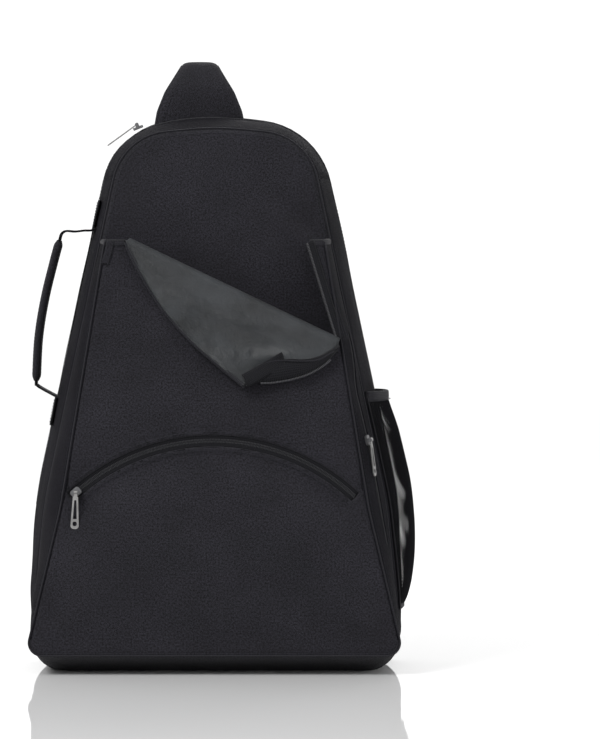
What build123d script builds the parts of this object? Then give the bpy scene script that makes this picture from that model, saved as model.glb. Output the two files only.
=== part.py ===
"""Racket backpack: a soft bag that stands on its base, with a racket pocket on the front.

Millimetres. +Z is up, the wearer's back is towards +Y and the front of the bag faces -Y.
The origin is on the floor, in the middle of the base. Every piece is written as its own STEP file.
"""

from build123d import *
import math
import os

# ---- driving dimensions -------------------------------------------------------------------------
BACK_Y = 80.0  # rear face of the back panel
BACK_PANEL_T = 10.0  # back panel: cover, foam and lining together
BACK_LINING_T, BACK_FOAM_T, BACK_FOAM_EDGE = 1.0, 7.0, 9.0
PANEL_T = 2.4  # fabric, foam and lining of the main compartment
POCKET_T = 1.8  # lighter fabric of the front pocket
TAPE_W = 12.0  # zip tape that shows between two panels
COIL_W = 2.8
COIL_H = 0.9

BODY_BACK_Y = BACK_Y - BACK_PANEL_T
MAIN_FRONT_Y, MAIN_FRONT_RISE = -32.0, 0.037  # front of the main compartment, leaning back
POCKET_FRONT_Y, POCKET_FRONT_RISE = -88.0, 0.0805  # front of the racket pocket, leaning back more

# Outlines as right-hand corners from the base upwards: x, z and the radius that rounds the corner.
BELOW_FLOOR = -0.6  # the outlines start below the floor, and the base is cut flat at the floor
BACK_CORNERS = [(190.5, BELOW_FLOOR, 34.0), (184.0, 170.0, 400.0), (105.0, 549.0, 80.0)]
BACK_APEX = (562.0, 300.0)
MAIN_CORNERS = [(189.0, BELOW_FLOOR, 34.0), (172.0, 170.0, 400.0), (94.0, 540.0, 60.0)]
MAIN_APEX = (549.0, 300.0)
MOUTH_Z = 434.0  # top edge of the racket pocket
POCKET_CORNERS = [(189.0, 20.0, 22.0), (154.0, 167.0, 300.0), (110.3, MOUTH_Z, 0.0)]

BASE_CUT_Z = 40.0  # the base panel is the part of the wall below this
TOP_CUT_Z = 500.0  # and the top panel the part above this
MAIN_ZIP_Y = 54.0  # middle of the main zip, close to the back panel
MAIN_ZIP_LOW_Z = 160.0  # where the main zip ends on both sides
BOARD_T, BOARD_HALF_W, BOARD_EDGE = 4.0, 150.0, 6.0  # stiffener that lies on the base, inside
FAR = 400.0  # further out than any of the bag's faces

# The flap: the pocket's upper corner, unzipped and folded down about the line from FOLD_A to FOLD_C.
FOLD_A = (-89.5, MOUTH_Z)
FOLD_C = (127.0, 331.0)
ZIP_TOP = (95.5, MOUTH_Z)
FLAP_ARCH = 13.0  # how far the flap's free top edge bows
FLAP_CLEAR = 1.2  # half the gap that the fold turns around, from the pocket's surface
FLAP_T, LINING_T = 1.4, 1.0
FOLD_END_GAP = 3.0  # the turned cloth stops this far from the fold's two ends
BINDING_W = 4.0

# The pouch zip is an arc on the pocket's front.
ARCH_CENTRE = (-1.5, 25.0)
ARCH_R = 209.0
ARCH_HALF_ANGLE = 43.0
ARCH_REST_ANGLE = 41.0  # slider at rest, left of the top

# The racket zip runs straight down the right gusset.
ZIP_UPPER = Vector(130.5, -53.2, 325.0)
ZIP_LOWER = Vector(172.0, -48.8, 130.0)
RACKET_SLIDER_Z = 233.0

# The main zip's slider turns with a long arm about this point, over the top of the bag.
MAIN_SLIDER_X = -80.0
MAIN_SLIDER_ARM = 214.0
MAIN_SLIDER_CENTRE_Z = 349.5

# Carry handle on the left side: centreline of the webbing in the XZ plane, and its middle in Y.
HANDLE_Y = 22.0
HANDLE_W, HANDLE_T = 25.0, 2.0
GRIP_W, GRIP_T = 30.0, 8.0
GRIP_LINE = [(-159.5, 434.0), (-165.5, 412.0), (-174.5, 375.0), (-181.0, 335.0), (-183.5, 291.0)]
HANDLE_START = [(-134.5, 444.0), (-143.5, 443.0), (-153.0, 443.5), (-157.5, 440.5)]
HANDLE_END = [(-182.5, 286.5), (-176.5, 282.5), (-171.0, 279.5)]
UPPER_TAB_Z, LOWER_TAB_Z = (446.0, 474.0), (247.0, 275.0)  # webbing sewn flat on the side
UPPER_ROOT = [(-134.2, 444.0), (-129.0, 444.2), (-124.0, 444.8), (-119.5, 446.5)]  # free, and flexes
LOWER_ROOT = [(-170.7, 279.35), (-166.0, 277.0), (-161.0, 274.6), (-156.0, 272.5)]

# Mesh pocket on the right side: height, how far it stands out of the side, in sections.
MESH_Y = (-14.0, 60.0)
MESH_T = 1.2
MESH_SECTIONS = [(62.0, 4.5), (84.0, 12.0), (130.0, 17.0), (200.0, 19.0), (245.0, 18.0), (281.0, 13.0)]
MESH_BINDING_H = 10.0

# Padded straps: side view of their middle, and half widths seen from behind.
YOKE_X = -18.0
YOKE_HALF_W = 45.0
YOKE_EDGE = [(45.0, 552.0), (42.5, 566.0), (34.5, 586.0), (24.0, 603.0), (14.0, 620.0)]  # half width, z
STRAP_T = 12.0
STRAP_LINE = [
    (71.0, 545.0), (71.0, 568.0), (75.0, 592.0), (90.0, 612.0), (106.0, 588.0), (107.0, 540.0),
    (117.0, 440.0), (121.0, 350.0), (113.0, 260.0), (101.0, 205.0),
]
STRAP_SPLIT_Z = 535.0
PAD_END_Z = 205.0
WEBBING_W, WEBBING_T = 25.0, 1.6
LOCK_W, LOCK_H, LOCK_T, LOCK_DROP = 36.0, 29.0, 2.4, 27.0
LOCK_SLOT_W, UPPER_SLOT, LOWER_SLOT = 27.0, (-7.0, 7.0), (6.25, 6.5)  # each slot's place and height
LOCK_LOOP_TOP, LOCK_LOOP_LOW, LOCK_LOOP_OUT = -16.6, -8.4, 3.5  # webbing loop through the upper slot
WEBBING_TURN, WEBBING_CLEAR = -5.5, 0.4  # where the strap turns round the middle bar, and its clearance
PAD_END_X, PAD_END_Y = 95.0, 100.5
ANCHOR_OFF, ANCHOR_T = 5.6, 2.2
ANCHOR_CORNERS = [(172, 30), (168, 78), (136, 72), (126, 30)]
STRAP_TAIL = 62.0  # the webbing's free end, below the ladder lock
ANCHOR_X, ANCHOR_Z = 150.0, 62.0


# ---- helpers ------------------------------------------------------------------------------------
def leaning_plane(y, rise):
    """An upright plane that faces -Y and leans back by rise for each millimetre of height."""
    run = math.hypot(1.0, rise)
    return Plane(origin=(0, y, 0), x_dir=(1, 0, 0), z_dir=(0, -1 / run, rise / run))


BACK = leaning_plane(BODY_BACK_Y, 0.0)
MAIN = leaning_plane(MAIN_FRONT_Y, MAIN_FRONT_RISE)
MAIN_OUTER = MAIN.offset(PANEL_T)
POCKET = leaning_plane(POCKET_FRONT_Y, POCKET_FRONT_RISE)
POCKET_INNER = POCKET.offset(-POCKET_T)


def on_plane(plane, point, lift=0.0):
    """The point of a leaning plane at that x and z, lifted off its front."""
    x, z = point
    up = plane.y_dir
    return plane.origin + Vector(1, 0, 0) * x + up * (z / up.Z) + plane.z_dir * lift


def mirrored(corners, apex=None):
    """A closed outline, anticlockwise from the lower left corner, as points and radii."""
    right = list(corners)
    left = [(-x, z, r) for x, z, r in corners]
    middle = [] if apex is None else [(0.0, *apex)]
    loop = [left[0], *right, *middle, *reversed(left[1:])]
    return [(x, z) for x, z, _ in loop], [r for _, _, r in loop]


def inset(points, radii, amount):
    """The outline moved inwards by amount, with its corners' radii to match."""
    moved, rounded = [], []
    for i, corner in enumerate(points):
        before, here = Vector(*points[i - 1]), Vector(*corner)
        after = Vector(*points[(i + 1) % len(points)])
        a, b = (here - before).normalized(), (after - here).normalized()
        normal_a, normal_b = Vector(-a.Y, a.X), Vector(-b.Y, b.X)
        shift = (normal_a + normal_b) * (amount / (1 + normal_a.dot(normal_b)))
        moved.append(((here + shift).X, (here + shift).Y))
        turns_left = a.X * b.Y - a.Y * b.X > 0
        change = -amount if turns_left else amount
        rounded.append(max(0.0, radii[i] + change) if radii[i] else 0.0)
    return moved, rounded


def outline_face(plane, points, radii):
    """A rounded outline as a face on a leaning plane. The points are x and z of the row's frame."""
    scale = 1.0 / plane.y_dir.Z
    wire = FilletPolyline(*[(x, z * scale) for x, z in points], radius=radii, close=True)
    return plane * make_face(wire)


def between(front, rear):
    """A solid ruled between two outline faces."""
    return loft([front, rear], ruled=True)


def box_between(low, high):
    """A box with these lowest and highest corners."""
    size = [b - a for a, b in zip(low, high)]
    middle = [(a + b) / 2 for a, b in zip(low, high)]
    return Pos(*middle) * Box(*size)


def slab(plane, x_low, x_high, z_low, z_high, depth=80.0):
    """A thick block standing through a leaning plane."""
    face = plane * Pos((x_low + x_high) / 2, (z_low + z_high) / 2) * Rectangle(x_high - x_low, z_high - z_low)
    return extrude(face, depth / 2, both=True)


def prism(plane, points, thickness, lift=0.0):
    """A flat polygon on a leaning plane, lifted off it and extruded outwards."""
    return extrude(outline_face(plane.offset(lift), points, [0.0] * len(points)), thickness)


def annular_sector(r_low, r_high, half_angle):
    """A 2-D arc band about the origin, symmetric about the local +Y axis."""
    ring = Circle(r_high) - Circle(r_low)
    a = math.radians(half_angle)
    reach = 2 * r_high
    wedge = make_face(Polyline((0, 0), (reach * math.sin(a), reach * math.cos(a)),
                               (-reach * math.sin(a), reach * math.cos(a)), close=True))
    return ring & wedge


def band_face(points, thickness):
    """A band of constant thickness along a smooth line, as a face in the local XY plane."""
    line = [Vector(*p) for p in points]
    left, right = [], []
    for i, p in enumerate(line):
        ahead, behind = line[min(i + 1, len(line) - 1)], line[max(i - 1, 0)]
        along = (ahead - behind).normalized()
        across = Vector(-along.Y, along.X) * (thickness / 2)
        left.append(p + across)
        right.append(p - across)
    edges = [Spline(*left), Line(left[-1], right[-1]), Spline(*reversed(right)), Line(right[0], left[0])]
    return make_face(edges)


def side_band(points, thickness, x_low, x_high):
    """A band drawn in the YZ plane and extruded along X."""
    face = Plane.YZ.offset(x_low) * band_face(points, thickness)
    return extrude(face, x_high - x_low, dir=(1, 0, 0))


def handle_band(points, thickness, width):
    """A band drawn in the XZ plane and extruded along Y, about the handle's middle."""
    plane = Plane(origin=(0, HANDLE_Y - width / 2, 0), x_dir=(1, 0, 0), z_dir=(0, -1, 0))
    return extrude(plane * band_face(points, thickness), width, dir=(0, 1, 0))


def write(name, shape):
    """One closed piece, or several, as parts/NAME.step."""
    solids = shape.solids()
    export_step(solids[0] if len(solids) == 1 else Compound(children=list(solids)), f"parts/{name}.step")


# ---- main compartment ---------------------------------------------------------------------------
def main_outlines(amount):
    back = inset(*mirrored(BACK_CORNERS, BACK_APEX), amount)
    front = inset(*mirrored(MAIN_CORNERS, MAIN_APEX), amount)
    return back, front


def main_block(amount=0.0):
    back, front = main_outlines(amount)
    return between(outline_face(MAIN, *front), outline_face(BACK, *back))


def above_floor(shape):
    """The shape cut flat at the floor."""
    return shape & box_between((-FAR, -FAR, 0), (FAR, FAR, FAR * 2))


def main_compartment():
    outside = above_floor(main_block())
    wall = outside - main_block(PANEL_T)
    zip_front, zip_rear = MAIN_ZIP_Y - TAPE_W / 2, MAIN_ZIP_Y + TAPE_W / 2
    zip_slot = box_between((-FAR, zip_front, MAIN_ZIP_LOW_Z), (FAR, zip_rear, FAR * 2))
    below = box_between((-FAR, -FAR, 0), (FAR, FAR, BASE_CUT_Z))
    above = box_between((-FAR, -FAR, TOP_CUT_Z), (FAR, FAR, FAR * 2))
    front_of_zip = box_between((-FAR, -FAR, 0), (FAR, MAIN_ZIP_Y, FAR * 2))
    left = box_between((-FAR, -FAR, 0), (0, FAR, FAR * 2))
    tape = wall & zip_slot
    panels = wall - zip_slot
    sides = panels - below - above
    top = panels & above
    write("base_panel", panels & below)
    write("side_panel_left", sides & left)
    write("side_panel_right", sides - left)
    write("top_panel_front", top & front_of_zip)
    write("top_panel_rear", top - front_of_zip)
    write("main_zip_tape", tape)

    _, front = main_outlines(0.0)
    write("front_panel", above_floor(extrude(outline_face(MAIN, *front), PANEL_T)))
    back, _ = main_outlines(0.0)
    rear = above_floor(extrude(outline_face(BACK, *back), -BACK_PANEL_T))
    lining = above_floor(extrude(outline_face(BACK, *back), -BACK_LINING_T))
    foam_outline = inset(*mirrored(BACK_CORNERS, BACK_APEX), BACK_FOAM_EDGE)
    foam = extrude(outline_face(BACK.offset(-BACK_LINING_T), *foam_outline), -BACK_FOAM_T)
    write("back_lining", lining)
    write("back_foam", foam)
    write("back_panel", rear - lining - foam)

    board_back, board_front = main_outlines(PANEL_T + 1.0)
    board_front_face = outline_face(MAIN.offset(-BOARD_EDGE), *board_front)
    board_back_face = outline_face(BACK.offset(BOARD_EDGE), *board_back)
    board_window = box_between((-BOARD_HALF_W, -FAR, 0), (BOARD_HALF_W, FAR, PANEL_T + BOARD_T))
    write("base_board", between(board_front_face, board_back_face) & board_window)
    return outside, rear


# ---- racket pocket and pouch on the front -------------------------------------------------------
def pocket_corners_at_main():
    """The main front's outline, cut off at the pocket's mouth."""
    (x_low, z_low, _), (x_high, z_high, _) = MAIN_CORNERS[1], MAIN_CORNERS[2]
    share = (MOUTH_Z + 3.0 - z_low) / (z_high - z_low)
    return [*MAIN_CORNERS[:2], (x_low + share * (x_high - x_low), MOUTH_Z + 3.0, 0.0)]


def opened(points, rise=30.0):
    """The outline with its two top corners carried on upwards, so that the pocket's mouth is open."""
    grown = list(points)
    for top, knee in ((3, 2), (4, 5)):
        (x0, z0), (x1, z1) = points[knee], points[top]
        grown[top] = (x1 + (x1 - x0) * rise / (z1 - z0), z1 + rise)
    return grown


def pocket_block(amount=0.0):
    front = inset(*mirrored(POCKET_CORNERS), amount)
    rear = inset(*mirrored(pocket_corners_at_main()), amount)
    if amount:
        front, rear = (opened(front[0]), front[1]), (opened(rear[0]), rear[1])
    return between(outline_face(POCKET_INNER, *front), outline_face(MAIN_OUTER, *rear))


def zip_frame(at):
    """A frame on the right gusset: Z outwards, Y up along the racket zip."""
    along = (ZIP_UPPER - ZIP_LOWER).normalized()
    ruling = Vector(15.6, 43.5, 0.0).normalized()  # across the gusset, front to rear
    outwards = ruling.cross(along * -1).normalized()
    outwards = outwards if outwards.X > 0 else outwards * -1
    return Plane(origin=at, x_dir=along.cross(outwards), z_dir=outwards)


def arch_cutters():
    """Through the pocket's front: the pouch zip's band, and everything that it lets open below."""
    reach = 20.0
    plane = Plane(origin=on_plane(POCKET, ARCH_CENTRE), x_dir=(1, 0, 0), z_dir=POCKET.z_dir)
    sector = annular_sector(ARCH_R - TAPE_W / 2, ARCH_R + TAPE_W / 2, ARCH_HALF_ANGLE)
    band = extrude(plane * sector, reach, both=True)
    inside = extrude(plane * Circle(ARCH_R - TAPE_W / 2), reach, both=True)
    end_z = ARCH_CENTRE[1] + ARCH_R * math.cos(math.radians(ARCH_HALF_ANGLE))
    lower = slab(POCKET, -FAR, FAR, -FAR, end_z, 2 * reach)
    return plane, band, (inside + lower) - band


def racket_pocket():
    strip_depth, mouth_rise, cut_depth, zip_lift = 16.0, 40.0, 20.0, 0.9
    outside, inside = above_floor(pocket_block()), pocket_block(POCKET_T)
    wall = outside - inside
    low = box_between((-FAR, -FAR, 0), (FAR, 0, BASE_CUT_Z))
    left = box_between((-FAR, -FAR, 0), (0, 0, FAR * 2))
    middle = (ZIP_UPPER + ZIP_LOWER) * 0.5
    run = (ZIP_UPPER - ZIP_LOWER).length
    strip = zip_frame(middle) * Box(TAPE_W, run, strip_depth)
    gussets = wall - low
    right = gussets - left
    write("pocket_base", wall & low)
    write("pocket_gusset_left", gussets & left)
    write("racket_zip_tape", right & strip)
    write("pocket_gusset_right", right - strip)
    coil = zip_frame(middle) * (Pos(0, 0, zip_lift + COIL_H / 2) * Box(COIL_W, run - 2, COIL_H))
    write("racket_zip_coil", coil)

    points, radii = mirrored(POCKET_CORNERS)
    plate = extrude(outline_face(POCKET_INNER, points, radii), POCKET_T)
    above_mouth = MOUTH_Z + mouth_rise
    mouth = [FOLD_A, FOLD_C, ZIP_TOP, (ZIP_TOP[0], above_mouth), (FOLD_A[0], above_mouth)]
    opening = prism(POCKET, mouth, 2 * cut_depth, -cut_depth)
    beyond = [FOLD_C, (FAR, FOLD_C[1]), (FAR, above_mouth), (ZIP_TOP[0], above_mouth), ZIP_TOP]
    strip_side = prism(POCKET, beyond, 2 * cut_depth, -cut_depth)
    plane, band, below = arch_cutters()
    front = plate - opening
    write("pocket_zip_strip", front & strip_side)
    front = front - strip_side
    write("pouch_zip_tape", front & band)
    write("pouch_front", front & below)
    write("pocket_front", front - band - below)
    coil = plane * annular_sector(ARCH_R - COIL_W / 2, ARCH_R + COIL_W / 2, ARCH_HALF_ANGLE - 0.5)
    write("pouch_zip_coil", extrude(coil, COIL_H))

    tape_points = edge_strip(ZIP_TOP, FOLD_C, 1.0, 8.0)
    write("flap_zip_tape_body", prism(POCKET, tape_points, 0.7))
    write("pouch_rear_wall", pouch_wall(inside))


def pouch_wall(inside):
    """The lining between pouch and racket: behind the pouch, and sloping forward above it."""
    depth, thickness = 15.0, 1.2
    low, top, slope_top = -5.0, 238.0, 262.0
    into_front = -2.0

    def point(z, behind, up=0.0):
        """A point of the profile, so far behind the pocket's inner face, and up by a little."""
        return POCKET_FRONT_Y + POCKET_T + POCKET_FRONT_RISE * z + behind, z + up

    near = [point(low, depth), point(top, depth), point(slope_top, into_front)]
    far = [point(slope_top, into_front, 4.0), point(top, depth + thickness, 2.0), point(low, depth + thickness)]
    profile = Plane.YZ.offset(-FAR) * make_face(Polyline(*near, *far, close=True))
    return extrude(profile, 2 * FAR, dir=(1, 0, 0)) & inside


def edge_strip(start, end, near, far):
    """A strip beside the line from start to end, on its right, between two distances from it."""
    a, b = Vector(*start), Vector(*end)
    along = (b - a).normalized()
    across = Vector(-along.Y, along.X)
    across = across if across.X > 0 else across * -1
    a, b = a + along * 3, b - along * 14
    return [((p + across * d).X, (p + across * d).Y) for p, d in ((a, near), (b, near), (b, far), (a, far))]


# ---- the flap -----------------------------------------------------------------------------------
def fold_axis():
    """The line that the flap turns about, just off the pocket's front."""
    start = on_plane(POCKET, FOLD_C, FLAP_CLEAR)
    end = on_plane(POCKET, FOLD_A, FLAP_CLEAR)
    return Axis(start, end - start)


def flap_pieces():
    """The flap closed, in the pocket's plane, then folded down by half a turn."""
    a, c, top = Vector(*FOLD_A), Vector(*FOLD_C), Vector(*ZIP_TOP)
    fold = (c - a).normalized()
    up = Vector(-fold.Y, fold.X)
    up = up if up.Y > 0 else up * -1
    zip_dir = (c - top).normalized()
    scale = 1.0 / POCKET.y_dir.Z
    chord = (top - a).length
    radius = (chord * chord / 4 + FLAP_ARCH * FLAP_ARCH) / (2 * FLAP_ARCH)
    centre = (a + top) * 0.5 + Vector(0, -(radius - FLAP_ARCH))

    def disc(r):
        return Pos(centre.X, centre.Y * scale) * Circle(r)

    def half_plane(corners):
        return make_face(Polyline(*[(p.X, p.Y * scale) for p in corners], close=True))

    fold_gap, zip_gap, tape_w = 1.5, 1.0, 8.0
    inner_a, inner_c = a + up * fold_gap - fold * 40, c + up * fold_gap + fold * 40
    left = Vector(-zip_dir.Y, zip_dir.X)
    left = left if left.X < 0 else left * -1
    kept = half_plane([inner_a, inner_c, inner_c + up * 300, inner_a + up * 300])

    def left_of_zip(gap):
        start, end = top + left * gap - zip_dir * 80, c + left * gap + zip_dir * 80
        return half_plane([start, end, end + left * 400, start + left * 400])

    cloth = kept & disc(radius - BINDING_W) & left_of_zip(zip_gap + tape_w)
    binding = kept & (disc(radius) - disc(radius - BINDING_W)) & left_of_zip(zip_gap)
    tape = kept & disc(radius - BINDING_W) & (left_of_zip(zip_gap) - left_of_zip(zip_gap + tape_w))
    blunt_from, beyond = c - fold * 14, c + fold * 60
    blunt = half_plane([blunt_from - up * 60, beyond - up * 60, beyond + up * 60, blunt_from + up * 60])
    pieces = {
        "flap_panel": extrude(POCKET * (cloth - blunt), FLAP_T),
        "flap_lining": extrude(POCKET.offset(-LINING_T) * (cloth - blunt), LINING_T),
        "flap_binding": extrude(POCKET.offset(-1.3) * binding, 3.0),
        "flap_zip_tape": extrude(POCKET.offset(0.2) * (tape - blunt), 0.9),
    }
    for name, piece in pieces.items():
        write(name, piece.rotate(fold_axis(), -180.0))
    write("flap_fold_cloth", fold_cloth())


def fold_cloth():
    """The cloth that turns back at the fold: a half round along it, open towards the pocket's front."""
    start, end = on_plane(POCKET, FOLD_A), on_plane(POCKET, FOLD_C)
    along = (end - start).normalized()
    up = POCKET.z_dir.cross(along)
    up = up if up.Z > 0 else up * -1
    profile = Plane(origin=start + along * FOLD_END_GAP, x_dir=up, z_dir=along)
    lift = 1 if profile.y_dir.dot(POCKET.z_dir) > 0 else -1
    middle = FLAP_CLEAR - 1.0
    ring = Circle(2.0) - Circle(0.6)
    bend = Pos(0, lift * middle) * (ring & Pos(2.0, 0) * Rectangle(4.0, 4.0))
    return extrude(profile * bend, (end - start).length - 2 * FOLD_END_GAP, dir=along)


# ---- zip sliders and pulls ----------------------------------------------------------------------
PIN_R, PIN_H = 0.7, 5.0  # the pull's pin, above the slider's underside
LUG_GAP, LUG_T = 4.0, 1.2
PULL_LENGTH, PULL_END_W, PULL_NECK_W, PULL_T = 37.0, 8.6, 3.6, 1.2


def slider():
    """A zip slider: Y along its travel, Z away from the cloth, underside at Z 0."""
    body = extrude(RectangleRounded(8.0, 10.5, 2.4), 2.6)
    lug = Box(LUG_T, 3.6, PIN_H + 1.2 - 2.6)
    lugs = [Pos(side * (LUG_GAP + LUG_T) / 2, 0, (PIN_H + 1.2 + 2.6) / 2) * lug for side in (-1, 1)]
    pin = Pos(0, 0, PIN_H) * Rot(0, 90, 0) * Cylinder(PIN_R, LUG_GAP + 0.2)
    return body + lugs[0] + lugs[1] + pin


def pull():
    """A metal pull that hangs from its pin at the origin towards -Y, with an open frame."""
    eye = Rot(0, 90, 0) * (Cylinder(1.9, PULL_NECK_W) - Cylinder(PIN_R + 0.15, PULL_NECK_W + 1))
    neck = Pos(0, -3.0, 0) * Box(PULL_NECK_W, 3.4, PULL_T)
    plate = make_face(FilletPolyline((-2.6, -4.4), (2.6, -4.4), (PULL_END_W / 2, -PULL_LENGTH),
                                     (-PULL_END_W / 2, -PULL_LENGTH), radius=[1.0, 1.0, 3.4, 3.4], close=True))
    slot = make_face(FilletPolyline((-1.1, -8.0), (1.1, -8.0), (1.9, -27.0), (-1.9, -27.0),
                                    radius=[0.6] * 4, close=True))
    hole = Pos(0, -31.8) * RectangleRounded(4.2, 4.4, 1.6)
    frame = extrude(plate - slot - hole, PULL_T / 2, both=True)
    return eye + neck + frame


def slider_and_pull(name, frame, swing, droop):
    """Places a slider on frame; its pull is turned by swing in the cloth's plane and droops towards it."""
    pin = Pos(0, 0, PIN_H)
    turn = Rot(0, 0, swing)
    base = extrude(RectangleRounded(8.0, 10.5, 2.4), 2.6)
    hardware = base + turn * (slider() - Pos(0, 0, 1.3) * Box(20, 20, 2.6))
    write(f"{name}_slider", frame * hardware)
    write(f"{name}_pull", frame * (turn * pin * Rot(droop, 0, 0) * pull()))


def sliders():
    share = (ZIP_UPPER.Z - RACKET_SLIDER_Z) / (ZIP_UPPER.Z - ZIP_LOWER.Z)
    on_gusset = zip_frame(ZIP_UPPER + (ZIP_LOWER - ZIP_UPPER) * share)
    slider_and_pull("racket_zip", on_gusset.offset(2.2), 0.0, 6.0)

    a = math.radians(ARCH_REST_ANGLE)
    spot = (ARCH_CENTRE[0] - ARCH_R * math.sin(a), ARCH_CENTRE[1] + ARCH_R * math.cos(a))
    up_arc = Vector(1, 0, 0) * math.cos(a) + POCKET.y_dir * math.sin(a)
    on_coil = on_plane(POCKET, spot, COIL_H + 0.3)
    frame = Plane(origin=on_coil, x_dir=up_arc.cross(POCKET.z_dir), z_dir=POCKET.z_dir)
    slider_and_pull("pouch_zip", frame, 90.0 - ARCH_REST_ANGLE - 2.0, 7.0)

    height = math.sqrt(MAIN_SLIDER_ARM**2 - MAIN_SLIDER_X**2)
    out = Vector(MAIN_SLIDER_X, 0, height).normalized()
    along = Vector(out.Z, 0, -out.X)
    on_tape = Vector(MAIN_SLIDER_X, MAIN_ZIP_Y, MAIN_SLIDER_CENTRE_Z + height)
    frame = Plane(origin=on_tape, x_dir=along.cross(out), z_dir=out)
    slider_and_pull("main_zip", frame, 0.0, 14.0)


# ---- carry handle -------------------------------------------------------------------------------
def carry_handle(outside):
    strap = handle_band([*HANDLE_START, *GRIP_LINE, *HANDLE_END], HANDLE_T, HANDLE_W)
    write("carry_strap", strap)
    write("carry_grip", handle_band(GRIP_LINE, GRIP_T, GRIP_W) - strap)
    ys = (HANDLE_Y - HANDLE_W / 2, HANDLE_Y + HANDLE_W / 2)
    for word, zs, line in (("upper", UPPER_TAB_Z, UPPER_ROOT), ("lower", LOWER_TAB_Z, LOWER_ROOT)):
        tab = thick_patch(outside, -1, ys, zs, HANDLE_T)
        write(f"carry_tab_{word}", tab)
        root = handle_band(line, HANDLE_T, HANDLE_W) - tab - outside
        write(f"carry_root_{word}", max(root.solids(), key=lambda s: s.volume))


def thick_patch(outside, side, ys, zs, thickness):
    """A patch of webbing lying on the side wall: the wall's own face moved out by its thickness."""
    window = box_between((min(0, side * FAR), ys[0], zs[0]), (max(0, side * FAR), ys[1], zs[1]))
    moved = Pos(side * thickness, 0, 0) * outside
    return (moved & window) - outside


# ---- mesh pocket --------------------------------------------------------------------------------
def side_x(z):
    """Half width of the back outline at a height, along its straight sides."""
    start = 0 if z < BACK_CORNERS[1][1] else 1
    (x0, z0, _), (x1, z1, _) = BACK_CORNERS[start], BACK_CORNERS[start + 1]
    return x0 + (x1 - x0) * (z - z0) / (z1 - z0)


def mesh_block(shrink, top_extra=0.0, bottom_extra=0.0):
    """The bulging volume of the mesh pocket, reaching into the side wall."""
    faces = []
    for i, (z, bulge) in enumerate(MESH_SECTIONS):
        z = z + (top_extra if i == len(MESH_SECTIONS) - 1 else 0.0) + (bottom_extra if i == 0 else 0.0)
        wall = side_x(z)
        low, high = MESH_Y[0] + shrink, MESH_Y[1] - shrink
        tip = wall + bulge - shrink
        root, middle = wall - 14, (low + high) / 2 - 6
        arc = Spline((root, low), (wall - 4, low + 2), (tip, middle), (wall, high - 2), (root, high))
        faces.append(Pos(0, 0, z) * make_face([arc, Line(arc @ 1, arc @ 0)]))
    return loft(faces)


def mesh_pocket(outside, rear):
    inner = mesh_block(MESH_T, 8.0, 1.5)
    shell = mesh_block(0.0) - inner - outside - rear
    shell = max(shell.solids(), key=lambda s: s.volume)
    split_z = MESH_SECTIONS[-1][0] - MESH_BINDING_H
    upper = box_between((0, -200, split_z), (400, 200, 600))
    write("mesh_pocket", shell - upper)
    write("mesh_pocket_binding", shell & upper)


# ---- straps -------------------------------------------------------------------------------------
def strap_outline(side):
    """A shoulder pad seen from behind, as x and z, from the yoke down and back up."""
    inner = [(YOKE_X, STRAP_SPLIT_Z), (YOKE_X + side * 8, 470), (side * 32, 380), (side * 58, 290),
             (side * 78, PAD_END_Z)]
    outer = [(side * 112, PAD_END_Z), (side * 122, 290), (side * 102, 390), (side * 72 + YOKE_X * 0.6, 470),
             (YOKE_X + side * YOKE_HALF_W, STRAP_SPLIT_Z)]
    return inner, outer


def seen_from_behind(edges):
    """A face drawn as x and z, extruded right through the straps along Y."""
    plane = Plane(origin=(0, 140, 0), x_dir=(1, 0, 0), z_dir=(0, -1, 0))
    return extrude(plane * make_face(edges), 90, dir=(0, -1, 0))


def shoulder_pad(side):
    """One padded shoulder strap, from the yoke down to its ladder lock."""
    inner, outer = strap_outline(side)
    edges = [Spline(*inner), Line(inner[-1], outer[0]), Spline(*outer), Line(outer[-1], inner[0])]
    pad = side_band(STRAP_LINE, STRAP_T, -160, 160) & seen_from_behind(edges)
    return max(pad.solids(), key=lambda s: s.volume)


def straps(outside, rear):
    band = side_band(STRAP_LINE, STRAP_T, -160, 160)
    low = STRAP_SPLIT_Z
    right = Spline(*[(YOKE_X + w, z) for w, z in YOKE_EDGE])
    left = Spline(*[(YOKE_X - w, z) for w, z in reversed(YOKE_EDGE)])
    yoke_edges = [right, Line(right @ 1, left @ 0), left, Line(left @ 1, (YOKE_X - YOKE_HALF_W, low)),
                  Line((YOKE_X - YOKE_HALF_W, low), (YOKE_X + YOKE_HALF_W, low)),
                  Line((YOKE_X + YOKE_HALF_W, low), right @ 0)]
    yoke = (band & seen_from_behind(yoke_edges)) - outside - rear
    write("strap_yoke", yoke)
    for side, word in ((-1, "left"), (1, "right")):
        write(f"shoulder_pad_{word}", shoulder_pad(side))
        lower_strap(side, word)


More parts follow.
